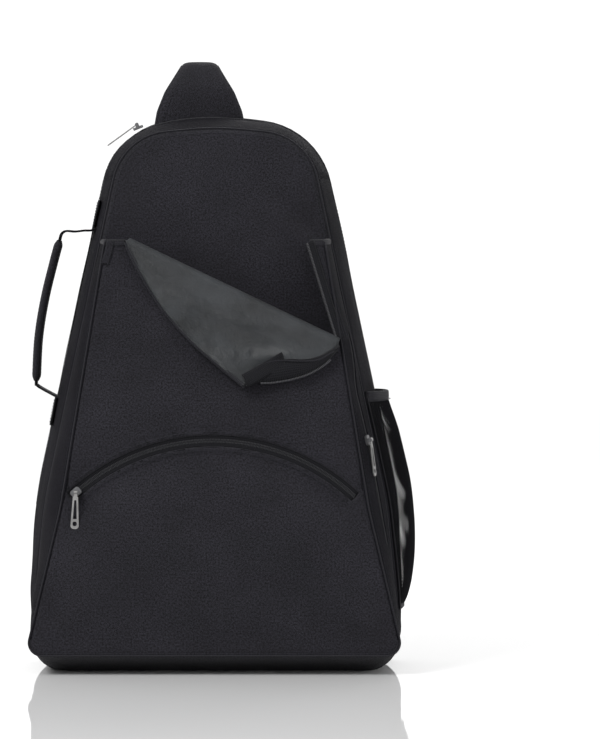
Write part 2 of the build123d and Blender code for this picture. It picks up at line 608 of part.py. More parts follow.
def lower_strap(side, word):
    """Ladder lock below a shoulder pad, and the webbing from it to the bag's lower corner."""
    pad_end = Vector(side * PAD_END_X, PAD_END_Y, PAD_END_Z)
    anchor = Vector(side * ANCHOR_X, BACK_Y + ANCHOR_OFF, ANCHOR_Z)
    along = (anchor - pad_end).normalized()
    across = along.cross(Vector(0, 1, 0)).normalized()
    frame = Plane(origin=pad_end + along * LOCK_DROP, x_dir=across, z_dir=across.cross(along))

    def block(low, high, width=WEBBING_W):
        """A block in the lock's frame, from low to high in (down, out)."""
        size = (width, high[0] - low[0], high[1] - low[1])
        return frame * (Pos(0, (low[0] + high[0]) / 2, (low[1] + high[1]) / 2) * Box(*size))

    plate = RectangleRounded(LOCK_W, LOCK_H, 3)
    for y, height in (UPPER_SLOT, LOWER_SLOT):
        plate -= Pos(0, y) * RectangleRounded(LOCK_SLOT_W, height, 1.5)
    write(f"ladder_lock_{word}", extrude(frame * plate, LOCK_T / 2, both=True))

    t, out = WEBBING_T, LOCK_LOOP_OUT
    hollow = block((LOCK_LOOP_TOP + t, t - out), (LOCK_LOOP_LOW - t, out - t), 2 * WEBBING_W)
    loop = block((LOCK_LOOP_TOP, -out), (LOCK_LOOP_LOW, out)) - hollow
    tab = block((-LOCK_DROP - 4, -t), (LOCK_LOOP_TOP, t))
    write(f"pad_webbing_{word}", (loop + tab) - shoulder_pad(side))

    reach = (anchor - pad_end).length - LOCK_DROP
    inner = LOCK_T / 2 + WEBBING_CLEAR
    outer = inner + t
    turn = block((WEBBING_TURN, -outer), (WEBBING_TURN + t, outer))
    tail = block((WEBBING_TURN, inner), (STRAP_TAIL, outer))
    write(f"strap_webbing_{word}", block((WEBBING_TURN, -outer), (reach, -inner)) + turn + tail)
    tab = make_face(Polyline(*[(side * x, z) for x, z in ANCHOR_CORNERS], close=True))
    plane = Plane(origin=(0, BACK_Y, 0), x_dir=(1, 0, 0), z_dir=(0, -1, 0))
    write(f"strap_anchor_{word}", extrude(plane * tab, -ANCHOR_T))


def main():
    os.makedirs("parts", exist_ok=True)
    outside, rear = main_compartment()
    racket_pocket()
    flap_pieces()
    sliders()
    carry_handle(outside)
    mesh_pocket(outside, rear)
    straps(outside, rear)


main()
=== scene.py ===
"""Looks of the racket backpack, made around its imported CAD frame.

Lengths in this script are millimetres in the frame's own axes (+Z up, the bag's front faces -Y) and
become metres when a mesh is made. Soft CAD solids are replaced by cloth; the metal parts are kept.
"""

import math

import bmesh
import bpy
import numpy as np
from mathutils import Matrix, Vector, noise
from mathutils.geometry import delaunay_2d_cdt


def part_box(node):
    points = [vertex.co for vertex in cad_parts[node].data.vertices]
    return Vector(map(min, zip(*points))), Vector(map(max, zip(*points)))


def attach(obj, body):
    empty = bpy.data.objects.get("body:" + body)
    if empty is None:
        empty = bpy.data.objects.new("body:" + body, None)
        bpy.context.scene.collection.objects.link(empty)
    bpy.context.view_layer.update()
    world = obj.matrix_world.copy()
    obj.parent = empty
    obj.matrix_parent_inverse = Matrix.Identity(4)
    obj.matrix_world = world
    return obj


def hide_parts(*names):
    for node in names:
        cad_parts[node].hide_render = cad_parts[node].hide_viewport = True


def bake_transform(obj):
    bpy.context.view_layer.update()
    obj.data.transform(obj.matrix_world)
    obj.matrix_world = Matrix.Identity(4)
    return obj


MM = 0.001
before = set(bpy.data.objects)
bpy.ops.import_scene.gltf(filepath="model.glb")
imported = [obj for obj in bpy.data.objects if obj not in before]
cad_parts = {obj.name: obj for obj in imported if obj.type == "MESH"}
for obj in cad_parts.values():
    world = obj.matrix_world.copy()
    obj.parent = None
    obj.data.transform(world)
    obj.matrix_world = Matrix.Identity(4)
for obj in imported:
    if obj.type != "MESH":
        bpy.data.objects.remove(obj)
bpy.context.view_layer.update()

# ---- the bag's main lines, as in the CAD model ---------------------------------------------------
BACK_Y, BODY_BACK_Y = 80.0, 70.0
BACK_CORNERS = [(190.5, 0.0, 34.0), (184.0, 170.0, 400.0), (105.0, 549.0, 80.0)]
MAIN_CORNERS = [(189.0, 0.0, 34.0), (172.0, 170.0, 400.0), (94.0, 540.0, 60.0)]
BACK_APEX, MAIN_APEX = (562.0, 300.0), (549.0, 300.0)
MOUTH_Z = 434.0
POCKET_CORNERS = [(189.0, 20.0, 13.0), (154.0, 167.0, 300.0), (110.3, MOUTH_Z, 0.0)]
POCKET_REAR_CORNERS = [*MAIN_CORNERS[:2], (115.6, MOUTH_Z, 0.0)]
FOLD_A, FOLD_C, ZIP_TOP = (-89.5, MOUTH_Z), (127.0, 331.0), (95.5, MOUTH_Z)
ARCH_CENTRE, ARCH_R, ARCH_HALF = (-1.5, 25.0), 209.0, math.radians(43.0)
MAIN_ZIP_Y, TAPE_W, MAIN_ZIP_LOW_Z = 54.0, 12.0, 160.0
HANDLE_Y = 22.0


# ---- materials -----------------------------------------------------------------------------------
class Nodes:
    """Short names for building one material's nodes."""

    def __init__(self, name, **surface):
        self.material = bpy.data.materials.new(name)
        self.material.use_nodes = True
        self.tree = self.material.node_tree
        self.shader = self.tree.nodes["Principled BSDF"]
        for socket, value in surface.items():
            self.shader.inputs[socket.replace("_", " ")].default_value = value

    def add(self, kind, inputs=(), **settings):
        node = self.tree.nodes.new(kind)
        for key, value in settings.items():
            setattr(node, key, value)
        for key, value in dict(inputs).items():
            self.feed(node.inputs[key], value)
        return node

    def feed(self, socket, value):
        if isinstance(value, bpy.types.NodeSocket):
            self.tree.links.new(value, socket)
        else:
            socket.default_value = value

    def math(self, operation, a, b=0.0):
        return self.add("ShaderNodeMath", {0: a, 1: b}, operation=operation).outputs[0]

    def mul(self, a, b):
        return self.math("MULTIPLY", a, b)

    def sum(self, a, b):
        return self.math("ADD", a, b)

    def wave(self, value, factor):
        return self.math("SINE", self.mul(value, factor))

    def paint(self, value, socket="Base Color"):
        self.feed(self.shader.inputs[socket], value)

    def noise(self, vector, scale, detail=2.0, roughness=0.5):
        inputs = {"Vector": vector, "Scale": scale, "Detail": detail, "Roughness": roughness}
        return self.add("ShaderNodeTexNoise", inputs).outputs["Fac"]

    def ramp(self, value, low, high):
        return self.add("ShaderNodeMapRange", {0: value, 1: low, 2: high}).outputs[0]

    def tint(self, value, dark, light):
        inputs = {0: value, 6: (*dark, 1), 7: (*light, 1)}
        return self.add("ShaderNodeMix", inputs, data_type="RGBA").outputs[2]

    def bump(self, height, distance):
        node = self.add("ShaderNodeBump", {"Height": height, "Distance": distance, "Strength": 1.0})
        self.tree.links.new(node.outputs[0], self.shader.inputs["Normal"])


def shade(colour, factor):
    return tuple(min(1.0, c * factor) for c in colour)


def weave(n, pitch):
    """Height of a plain weave of that pitch in metres, from the cloth's own UVs, and the UV vector."""
    uv = n.add("ShaderNodeUVMap").outputs[0]
    wobble = n.add("ShaderNodeTexNoise", {"Vector": uv, "Scale": 180.0, "Detail": 1.0}).outputs["Color"]
    shift = n.add("ShaderNodeVectorMath", {0: wobble, 1: (pitch * 0.5,) * 3}, operation="MULTIPLY").outputs[0]
    place = n.add("ShaderNodeVectorMath", {0: uv, 1: shift}, operation="ADD").outputs[0]
    parts = n.add("ShaderNodeSeparateXYZ", {0: place}).outputs
    warp, weft = [n.math("ABSOLUTE", n.wave(parts[k], math.pi / pitch)) for k in (0, 1)]
    over = n.add("ShaderNodeTexChecker", {"Vector": place, "Scale": 1.0 / pitch}).outputs["Fac"]
    return n.sum(n.mul(warp, over), n.mul(weft, n.math("SUBTRACT", 1.0, over))), uv


def cloth(name, colour, pitch=0.0009, contrast=0.85, sheen=0.04, depth=0.0003, gloss=0.12):
    """Woven cloth: yarn by yarn relief and shade, with slubs, pilling and broad uneven dye."""
    n = Nodes(name, Roughness=0.85, Sheen_Weight=sheen, Sheen_Roughness=0.45, Specular_IOR_Level=gloss)
    height, uv = weave(n, pitch)
    slub, patch = n.noise(uv, 560.0, 4.0, 0.8), n.noise(uv, 14.0, 3.0, 0.6)
    mix = n.sum(n.mul(height, 0.12), n.mul(slub, 0.88))
    fine = n.tint(n.ramp(mix, 0.42, 0.60), shade(colour, 1 - contrast), shade(colour, 1 + contrast))
    dye = n.tint(n.ramp(patch, 0.3, 0.7), (0.80,) * 3, (1.24,) * 3)
    dyed = n.add("ShaderNodeMix", {0: 1.0, 6: fine, 7: dye}, data_type="RGBA", blend_type="MULTIPLY")
    n.paint(dyed.outputs[2])
    n.bump(n.sum(height, n.mul(slub, 0.6)), depth)
    return n.material


def satin(name, colour, rough):
    """Smooth coated lining cloth: a fine rib, a slight gloss and soft crumples, with the crumples' relief painted
    into the colour as well.
    """
    n = Nodes(name, Roughness=rough, Sheen_Weight=0.05, Sheen_Roughness=0.4, Specular_IOR_Level=0.3)
    uv = n.add("ShaderNodeUVMap").outputs[0]
    parts = n.add("ShaderNodeSeparateXYZ", {0: uv}).outputs
    rib = n.wave(n.sum(parts[0], parts[1]), 9000.0)
    crumple, broad = n.noise(uv, 45.0, 4.0, 0.6), n.noise(uv, 16.0, 2.0, 0.5)
    tone = n.sum(n.mul(crumple, 0.35), n.mul(n.noise(uv, 900.0), 0.15))
    tone = n.sum(tone, n.mul(broad, 0.5))
    # Painted light: the crumple noise that also makes the bump lightens the crowns and darkens the hollows
    # (painted highlight and painted shade), mixed with random broad and fine tone.
    n.paint(n.tint(n.ramp(tone, 0.36, 0.62), shade(colour, 0.35), shade(colour, 1.7)))
    n.bump(n.sum(n.mul(rib, 0.03), crumple), 0.0030)
    return n.material


def ribbed(name, colour, pitch, rough=0.7):
    """Webbing or tape: ribs across its length, crossed by fine yarns."""
    n = Nodes(name, Roughness=rough, Sheen_Weight=0.06, Sheen_Roughness=0.4, Specular_IOR_Level=0.08)
    uv = n.add("ShaderNodeUVMap").outputs[0]
    parts = n.add("ShaderNodeSeparateXYZ", {0: uv}).outputs
    k = 2 * math.pi / pitch
    bend = n.mul(n.math("ABSOLUTE", n.wave(parts[0], k / 4)), 2.2)
    chevron = n.math("SINE", n.sum(n.mul(parts[1], k), bend))
    yarn = n.wave(parts[0], k)
    height = n.sum(n.mul(chevron, 0.6), n.mul(yarn, 0.4))
    tone = n.sum(n.mul(height, 0.3), n.noise(uv, 1200.0, 2.0))
    n.paint(n.tint(n.ramp(tone, 0.15, 0.9), shade(colour, 0.55), shade(colour, 1.6)))
    n.bump(height, 0.0003)
    return n.material


def metal(name, colour, rough):
    """Plated metal with brushed streaks and handling marks."""
    n = Nodes(name, Metallic=1.0, Specular_IOR_Level=0.5)
    place = n.add("ShaderNodeTexCoord").outputs["Object"]
    marks, smear = n.noise(place, 900.0, 5.0, 0.7), n.noise(place, 160.0, 3.0, 0.6)
    n.paint(n.tint(n.ramp(smear, 0.3, 0.7), shade(colour, 0.8), shade(colour, 1.15)))
    n.paint(n.sum(n.mul(marks, 0.25), rough), "Roughness")
    n.bump(marks, 0.00004)
    return n.material


def plastic(name, colour, rough=0.45, gloss=0.4):
    """Moulded plastic with a fine spark-eroded grain."""
    n = Nodes(name, Roughness=rough, Specular_IOR_Level=gloss)
    place = n.add("ShaderNodeTexCoord").outputs["Object"]
    grain, cloudy = n.noise(place, 2600.0, 3.0), n.noise(place, 90.0, 3.0)
    n.paint(n.tint(cloudy, shade(colour, 0.85), shade(colour, 1.2)))
    n.paint(n.sum(n.mul(cloudy, 0.15), rough - 0.08), "Roughness")
    n.bump(grain, 0.00006)
    return n.material


SHELL = (0.0092, 0.0088, 0.0116)
MATERIALS = {
    "shell": cloth("shell_cloth", SHELL),
    # Painted shade: the side finish is the shell cloth darkened to 0.62, standing for the shade on the side, top,
    # gusset, back edge and strap anchor panels that face away from the front lamps.
    "side": cloth("painted_shade_side_cloth", shade(SHELL, 0.62), sheen=0.0, gloss=0.05),
    "pad": cloth("pad_cloth", shade(SHELL, 0.9), pitch=0.0011),
    "air_mesh": cloth("air_mesh_cloth", shade(SHELL, 1.25), pitch=0.0026, contrast=0.8, depth=0.0008),
    "lining": satin("lining_cloth", (0.0102, 0.0118, 0.0136), 0.38),
    "binding": ribbed("binding_tape", (0.0100, 0.0098, 0.0122), 0.0016, rough=0.6),
    "tape": ribbed("zip_tape", (0.0052, 0.0052, 0.0064), 0.0018, rough=0.8),
    "webbing": ribbed("webbing", (0.0095, 0.0095, 0.0110), 0.0022),
    "thread": plastic("thread", (0.0125, 0.0125, 0.0155), 0.7, 0.15),
    "coil": plastic("zip_coil", (0.012, 0.012, 0.014), 0.4, 0.25),
    # Painted highlight: the same coil as zip_coil, made about four times lighter for the open zip's teeth,
    # standing for the light they catch.
    "coil_painted_highlight": plastic("zip_coil_painted_highlight", (0.045, 0.045, 0.049), 0.45, 0.25),
    "net": plastic("net_yarn", (0.005, 0.005, 0.006), 0.8, 0.06),
    "slider": metal("slider_metal", (0.13, 0.13, 0.135), 0.30),
    "pull": metal("pull_metal", (0.24, 0.237, 0.235), 0.24),
    "plastic": plastic("lock_plastic", (0.016, 0.016, 0.017)),
    "foam": plastic("foam", (0.30, 0.30, 0.31), 0.9),
}


# ---- meshes --------------------------------------------------------------------------------------
def unit(v):
    v = np.asarray(v, float)
    return v / np.maximum(np.linalg.norm(v, axis=-1, keepdims=True), 1e-12)


def piece(name, verts, faces, finish, uvs=None, body="pack", stands_for=()):
    """A mesh piece that rides on a body. Points and UVs are in millimetres."""
    mesh = bpy.data.meshes.new(name)
    mesh.from_pydata((np.asarray(verts, float) * MM).tolist(), [], faces)
    if uvs is not None:
        corner = np.empty(len(mesh.loops), int)
        mesh.loops.foreach_get("vertex_index", corner)
        layer = mesh.uv_layers.new(name="UVMap")
        layer.data.foreach_set("uv", (np.asarray(uvs, float) * MM)[corner].ravel())
    mesh.polygons.foreach_set("use_smooth", [True] * len(mesh.polygons))
    mesh.materials.append(MATERIALS[finish])
    mesh.update()
    obj = bpy.data.objects.new(name, mesh)
    bpy.context.collection.objects.link(obj)
    if stands_for:
        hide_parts(*stands_for)
    if body:
        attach(obj, body)
    return obj


def thicken(obj, thickness):
    """Gives a sheet its thickness, inwards from its outer face."""
    solid = obj.modifiers.new("thickness", "SOLIDIFY")
    solid.thickness = thickness * MM
    solid.offset = -1.0
    return obj


def grid(name, points, finish, thickness=None, keep=None, flip=False, **kw):
    """A sheet through a grid of points. keep says which of its cells are there."""
    points = np.asarray(points, float)
    rows, cols = points.shape[:2]
    down = np.linalg.norm(np.diff(points, axis=0), axis=2).mean(axis=1)
    over = np.linalg.norm(np.diff(points, axis=1), axis=2).mean(axis=0)
    v, u = np.meshgrid(np.r_[0, np.cumsum(down)], np.r_[0, np.cumsum(over)], indexing="ij")
    faces = []
    for i in range(rows - 1):
        for j in range(cols - 1):
            if keep is None or keep[i, j]:
                k = i * cols + j
                quad = (k, k + cols, k + cols + 1, k + 1)
                faces.append(quad[::-1] if flip else quad)
    used = sorted({i for f in faces for i in f})
    place = {old: new for new, old in enumerate(used)}
    faces = [tuple(place[i] for i in f) for f in faces]
    uvs = np.stack([u.ravel(), v.ravel()], axis=1)[used]
    obj = piece(name, points.reshape(-1, 3)[used], faces, finish, uvs, **kw)
    return thicken(obj, thickness) if thickness else obj


def reach_of(path):
    """Length along a path up to each of its points."""
    return np.r_[0, np.cumsum(np.linalg.norm(np.diff(path, axis=0), axis=1))]


def even(path, count):
    """That many points at equal distances along a path."""
    path = np.asarray(path, float)
    reach = reach_of(path)
    at = np.linspace(0, reach[-1], count)
    return np.stack([np.interp(at, reach, column) for column in path.T], axis=1)


def resample(path, step):
    """A path's points at equal distances of about step."""
    path = np.asarray(path, float)
    return even(path, max(2, int(round(reach_of(path)[-1] / step)) + 1))


def joined(loop):
    """A loop with its first entry again at its end."""
    return np.concatenate([loop, loop[:1]])


def spread(normal, count):
    """A direction for each of count spots, from a single direction or from a row of them."""
    normal = np.asarray(normal, float)
    if normal.ndim == 2:
        return normal[np.linspace(0, len(normal) - 1, count).round().astype(int)]
    return np.broadcast_to(normal, (count, 3))


def upright(flat, y):
    """Points given as x and z, stood up at a depth y."""
    flat = np.asarray(flat, float)
    return np.stack([flat[:, 0], np.broadcast_to(y, len(flat)), flat[:, 1]], axis=1)


def bell(x, width):
    return np.exp(-((x / width) ** 2))


def smooth_curve(points, steps=12):
    """A Catmull-Rom curve through points."""
    p = np.asarray(points, float)
    p = np.vstack([2 * p[0] - p[1], p, 2 * p[-1] - p[-2]])
    t = np.linspace(0, 1, steps, endpoint=False)[:, None]
    out = []
    for a, b, c, d in zip(p, p[1:], p[2:], p[3:]):
        out.append(0.5 * (2 * b + (c - a) * t + (2 * a - 5 * b + 4 * c - d) * t**2
                          + (3 * b - a - 3 * c + d) * t**3))
    return np.vstack([*out, p[-2][None]])


def tube_faces(n, m, closed=False):
    """Quads between n rings of m points, with both ends closed unless the rings run round."""
    faces = [(i * m + j, i * m + (j + 1) % m, (i + 1) % n * m + (j + 1) % m, (i + 1) % n * m + j)
             for i in range(n if closed else n - 1) for j in range(m)]
    return faces if closed else [*faces, tuple(range(m))[::-1], tuple(range((n - 1) * m, n * m))]


def sweep(name, path, normal, profile, finish, closed=False, size=None, **kw):
    """A profile of (across, out) carried along a path; normal is the outward direction along it."""
    path, profile = np.asarray(path, float), np.asarray(profile, float)
    ahead = unit(np.roll(path, -1, 0) - np.roll(path, 1, 0) if closed else np.gradient(path, axis=0))
    across = unit(np.cross(ahead, np.broadcast_to(np.asarray(normal, float), path.shape)))
    out = unit(np.cross(across, ahead))
    size = np.ones((len(path), 2)) if size is None else size
    rings = (path[:, None] + profile[None, :, :1] * size[:, None, :1] * across[:, None]
             + profile[None, :, 1:] * size[:, None, 1:] * out[:, None])
    u, v = np.meshgrid(reach_of(profile), reach_of(path))
    uvs = np.stack([u.ravel(), v.ravel()], 1)
    return piece(name, rings.reshape(-1, 3), tube_faces(*rings.shape[:2], closed), finish, uvs, **kw)


def round_profile(rx, ry=None, sides=10):
    a = np.linspace(0, 2 * math.pi, sides, endpoint=False)
    return np.stack([rx * np.cos(a), (rx if ry is None else ry) * np.sin(a)], axis=1)


def strap_profile(width, thickness, crown=0.0, steps=9):
    """A flat strap's section: rounded edges, and a crown where it is padded."""
    half, r = width / 2, thickness / 2
    x = np.linspace(-half + r, half - r, steps)
    top = np.stack([x, r + crown * (1 - (x / half) ** 2)], axis=1)
    a = np.linspace(math.pi / 2, -math.pi / 2, 5)[1:-1]
    right = np.stack([half - r + r * np.cos(a), r * np.sin(a)], axis=1)
    return np.vstack([top, right, -top, -right])


STITCH_R, STITCH_LIFT = 0.32, 0.12


class Thread:
    """Stitches or zip turns, gathered into one piece for each body."""

    def __init__(self, name, finish="thread", body="pack"):
        self.name, self.finish, self.body = name, finish, body
        self.verts, self.faces = [], []

    def line(self, path, normal, pitch=3.6, length=2.6):
        """A row of stitches along a path that lies on the cloth."""
        spots = resample(path, pitch)
        for p, t, n in zip(spots, unit(np.gradient(spots, axis=0)), spread(normal, len(spots))):
            side = unit(np.cross(t, n))
            out = unit(np.cross(side, t))
            self.bead(p + out * STITCH_LIFT, t, side, out, length / 2, STITCH_R)

    def bead(self, p, along, side, out, half, radius):
        base = len(self.verts)
        ring = [(math.cos(a), math.sin(a)) for a in np.linspace(0, 2 * math.pi, 6, endpoint=False)]
        for share, size in ((-1.0, 0.35), (-0.6, 1.0), (0.6, 1.0), (1.0, 0.35)):
            droop = -radius * 1.2 if abs(share) == 1.0 else 0.0
            for c, s in ring:
                self.verts.append(p + along * (half * share) + side * (radius * size * c)
                                  + out * (radius * size * s + droop))
        self.faces += [tuple(base + i for i in face) for face in tube_faces(4, 6)]

    def make(self, stands_for=()):
        return piece(self.name, self.verts, self.faces, self.finish, body=self.body, stands_for=stands_for)


def inside(points, outline):
    """Which 2-D points lie inside a closed outline."""
    points, outline = np.asarray(points), np.asarray(outline)
    x, y = points[:, 0][:, None], points[:, 1][:, None]
    x0, y0 = outline[:, 0][None], outline[:, 1][None]
    x1, y1 = np.roll(x0, -1, 1), np.roll(y0, -1, 1)
    hit = (y0 > y) != (y1 > y)
    cross = x0 + (y - y0) * (x1 - x0) / np.where(y1 == y0, 1e-9, y1 - y0)
    return (hit & (x < cross)).sum(axis=1) % 2 == 1


def distance_to(points, path, closed=True):
    """Distance of 2-D points from a path."""
    points, a = np.asarray(points, float), np.asarray(path, float)
    b = np.roll(a, -1, 0) if closed else a[1:]
    a = a if closed else a[:-1]
    best = np.full(len(points), 1e9)
    for p, q in zip(a, b):
        d = q - p
        t = np.clip(((points - p) @ d) / max(d @ d, 1e-9), 0, 1)
        best = np.minimum(best, np.linalg.norm(points - p - t[:, None] * d, axis=1))
    return best


def cut_out(points, loops):
    """Which 2-D points lie inside the first loop and outside the others."""
    keep = inside(points, loops[0])
    for hole in loops[1:]:
        keep &= ~inside(points, hole)
    return keep


def panel(name, outline, place, finish, thickness, step=4.0, holes=(), flip=False, **kw):
    """A cloth panel cut to a 2-D outline, with place turning its 2-D points into the frame's."""
    loops = [resample(joined(o), step)[:-1] for o in (outline, *holes)]
    low, high = loops[0].min(0), loops[0].max(0)
    x, y = np.meshgrid(np.arange(low[0], high[0], step), np.arange(low[1], high[1], step * 0.866))
    x[1::2] += step / 2
    inner = np.stack([x.ravel(), y.ravel()], axis=1)
    keep = cut_out(inner, loops)
    for loop in loops:
        keep[keep] &= distance_to(inner[keep], loop) > step * 0.55
    edges, at = [], 0
    for loop in loops:
        edges += [(at + i, at + (i + 1) % len(loop)) for i in range(len(loop))]
        at += len(loop)
    points = [Vector(p) for p in np.vstack([*loops, inner[keep]])]
    verts, _, tris, *_ = delaunay_2d_cdt(points, edges, [], 0, 1e-5)
    flat, tris = (np.array([tuple(item) for item in items]) for items in (verts, tris))
    good = cut_out(flat[tris].mean(axis=1), loops)
    faces = [tuple(int(i) for i in (t[::-1] if flip else t)) for t in tris[good]]
    return thicken(piece(name, place(flat), faces, finish, flat, **kw), thickness)


def ripple(points, size, seed=0.0):
    """Smooth noise between about -1 and 1 at 2-D or 3-D points in millimetres."""
    points = np.asarray(points, float)
    if points.shape[1] == 2:
        points = np.c_[points, np.full(len(points), seed)]
    return np.array([noise.noise(Vector(p / size) + Vector((seed, seed * 1.7, 0.0))) for p in points])


# ---- outlines ------------------------------------------------------------------------------------
EDGE_STEPS, ARC_STEPS = 24, 10


def corner_loop(corners, apex=None):
    middle = [] if apex is None else [(0.0, *apex)]
    left = [(-x, z, r) for x, z, r in corners]
    return [left[0], *corners, *middle, *reversed(left[1:])]


def corner(loop, i):
    """A rounded corner's centre, and where its arc starts and ends."""
    x, z, r = loop[i]
    here = np.array((x, z))
    u, v = (unit(np.array(loop[k][:2]) - here) for k in (i - 1, (i + 1) % len(loop)))
    half = math.acos(float(np.clip(u @ v, -1, 1))) / 2
    reach = r / math.tan(half)
    return here + unit(u + v) * (r / math.sin(half)), here + u * reach, here + v * reach


def rounded(loop):
    """Points round a closed outline from its lower left corner, and each corner's first and last."""
    points, marks = [], []
    for i, (x, z, r) in enumerate(loop):
        centre, start, end = corner(loop, i)
        stop = corner(loop, (i + 1) % len(loop))[1]
        a0 = math.atan2(*(start - centre)[::-1])
        turn = (math.atan2(*(end - centre)[::-1]) - a0 + math.pi) % (2 * math.pi) - math.pi
        marks.append((len(points), len(points) + ARC_STEPS))
        for k in range(ARC_STEPS + 1):
            a = a0 + turn * k / ARC_STEPS
            points.append(centre + r * np.array((math.cos(a), math.sin(a))) if r else np.array((x, z)))
        points += [end + (stop - end) * k / EDGE_STEPS for k in range(1, EDGE_STEPS)]
    return np.array(points), marks


class Leaning:
    """An upright plane facing -Y that leans back by rise for each millimetre of height."""

    def __init__(self, y, rise):
        self.y, self.rise, self.run = y, rise, math.hypot(1, rise)
        self.normal = np.array((0, -1, rise)) / self.run

    def at(self, xz, lift=0.0):
        xz = np.atleast_2d(np.asarray(xz, float))
        flat = np.stack([xz[:, 0], self.y + self.rise * xz[:, 1], xz[:, 1]], axis=1)
        return flat + np.multiply.outer(np.broadcast_to(lift, len(xz)), self.normal)


MAIN = Leaning(-32.0, 0.037)
POCKET = Leaning(-88.0, 0.0805)
PANEL_T, POCKET_T = 2.4, 1.8

back_line, marks = rounded(corner_loop(BACK_CORNERS, BACK_APEX))
main_line, _ = rounded(corner_loop(MAIN_CORNERS, MAIN_APEX))
pocket_line, pocket_marks = rounded(corner_loop(POCKET_CORNERS))
pocket_rear_line, _ = rounded(corner_loop(POCKET_REAR_CORNERS))
threads = Thread("stitching")
RIGHT_TOP, LEFT_TOP = pocket_marks[3][0], pocket_marks[4][1]


def outward(line):
    """The outward direction along an outline, in the frame's axes."""
    ahead = unit(np.roll(line, -1, 0) - np.roll(line, 1, 0))
    return np.stack([ahead[:, 1], np.zeros(len(line)), -ahead[:, 0]], axis=1)


QUILT_X, QUILT_Z = (-62.0, 62.0), (150.0, 330.0, 470.0)
COIL_PITCH, FAR = 1.5, 400.0


# ---- main compartment ----------------------------------------------------------------------------
def smoothstep(x, low, high):
    t = np.clip((np.asarray(x, float) - low) / (high - low), 0, 1)
    return t * t * (3 - 2 * t)


SEAM_Y, SLOT_FRONT, SLOT_REAR = 45.5, 47.9, 60.1
STATIONS = np.array([0.0, 2.0, 5.0, *np.linspace(9, 43, 9), SEAM_Y, 47.0, SLOT_FRONT, 48.3, 51, MAIN_ZIP_Y,
                     57, 59.7, SLOT_REAR, 61.5, 65, 68, 70.0])


def main_wall():
    """The side wall all round, from the front's seam to the back's, and its outward directions."""
    front, rear = MAIN.at(main_line), upright(back_line, BODY_BACK_Y)
    out = outward((main_line + back_line) / 2)
    edge_y = front[:, 1:2]
    travel = np.where(STATIONS < SEAM_Y, STATIONS / SEAM_Y * (SEAM_Y - edge_y), STATIONS - edge_y)
    wall = front[:, None] + (rear - front)[:, None] * (travel / (BODY_BACK_Y - edge_y))[:, :, None]
    depth, height = wall[:, :, 1], wall[:, :, 2]
    share = (depth - depth[:, :1]) / (BODY_BACK_Y - depth[:, :1])
    swell = 5.5 * smoothstep(height, 14, 90) * (1 - 0.55 * smoothstep(height, 430, 560))
    flat = wall.reshape(-1, 3) * (1, 1.3, 0.45)
    crinkle = (ripple(flat, 55.0, 3.0) + 0.5 * ripple(flat, 24.0, 9.0)).reshape(share.shape)
    arch = np.sin(np.pi * share)
    bulge = swell * arch**0.8 + 2.2 * crinkle * arch * smoothstep(height, 6, 60)
    bulge -= 1.5 * bell(share * 90, 2.5) * smoothstep(height, 4, 30)
    beside_grip = smoothstep(height, 255, 290) * (1 - smoothstep(height, 425, 460)) * (wall[:, :, 0] < 0)
    bulge -= 5.0 * beside_grip * bell(depth - 42, 9)
    return wall + out[:, None] * bulge[:, :, None], out


WALL, WALL_OUT = main_wall()


def column(y):
    """The wall's column of points at a station."""
    return WALL[:, int(np.flatnonzero(STATIONS == y)[0])]


def main_compartment():
    """The body's side, top and base cloths, the main zip in its slot, and the piping."""
    closed, out = joined(WALL), joined(WALL_OUT)
    tall = np.minimum(closed[:-1, :-1, 2], closed[1:, 1:, 2]) > MAIN_ZIP_LOW_Z
    slot = tall & (STATIONS[:-1] >= SLOT_FRONT) & (STATIONS[1:] <= SLOT_REAR)
    index = np.arange(len(WALL))
    right_low, left_low = marks[1][1], marks[6][1] + EDGE_STEPS
    low = ((index < right_low) | (index >= left_low))[:, None]
    right = ((index >= right_low) & (index < marks[3][0]))[:, None]
    top = ((index >= marks[3][0]) & (index < marks[5][1]))[:, None]
    left = ((index >= marks[5][1]) & (index < left_low))[:, None]
    behind = STATIONS[:-1] >= SLOT_REAR
    # The side finish used here carries painted shade: the shell cloth darkened.
    for name, where, finish, node in (
        ("base_cloth", low, "shell", "base_panel"), ("side_cloth_right", right, "side", "side_panel_right"),
        ("top_cloth_front", top & ~behind, "side", "top_panel_front"),
        ("top_cloth_rear", top & behind, "side", "top_panel_rear"),
        ("side_cloth_left", left, "side", "side_panel_left"),
    ):
        grid(name, closed, finish, 2.0, keep=where & ~slot, flip=True, stands_for=[node])
    grid("main_zip_cloth", closed - out[:, None] * 1.1, "tape", 0.8, keep=slot, flip=True,
         stands_for=["main_zip_tape"])
    row = column(MAIN_ZIP_Y) + WALL_OUT * 0.1
    run = index[(index >= right_low) & (row[:, 2] > MAIN_ZIP_LOW_Z)]
    coil_rows("main_zip_teeth", row[run], WALL_OUT[run])
    for y in (SEAM_Y, 61.5):
        threads.line(column(y)[run], WALL_OUT[run])
    for word, edge in (("front", MAIN.at(main_line, 0.6)), ("rear", WALL[:, -1])):
        edge = np.maximum(edge, (-FAR, -FAR, 1.3))
        sweep(f"body_piping_{word}", edge, WALL_OUT, round_profile(1.0), "binding", closed=True)
    threads.line(joined(column(5.0)), out)


def coil_rows(name, path, normal, gap=2.6, finish="coil", body="pack", rows=(-1, 1), stands_for=()):
    """A closed nylon coil: two rows of turns that meet in the middle of a tape."""
    spots = resample(path, COIL_PITCH)
    turns = Thread(name, finish, body)
    for p, t, n in zip(spots, unit(np.gradient(spots, axis=0)), spread(normal, len(spots))):
        side = unit(np.cross(t, n))
        for row in rows:
            shift = COIL_PITCH / 2 if row > 0 else 0.0
            turns.bead(p + side * (row * gap * 0.30) + t * shift + n * 0.45, side, t, n, gap * 0.34, 0.42)
    turns.make(stands_for)


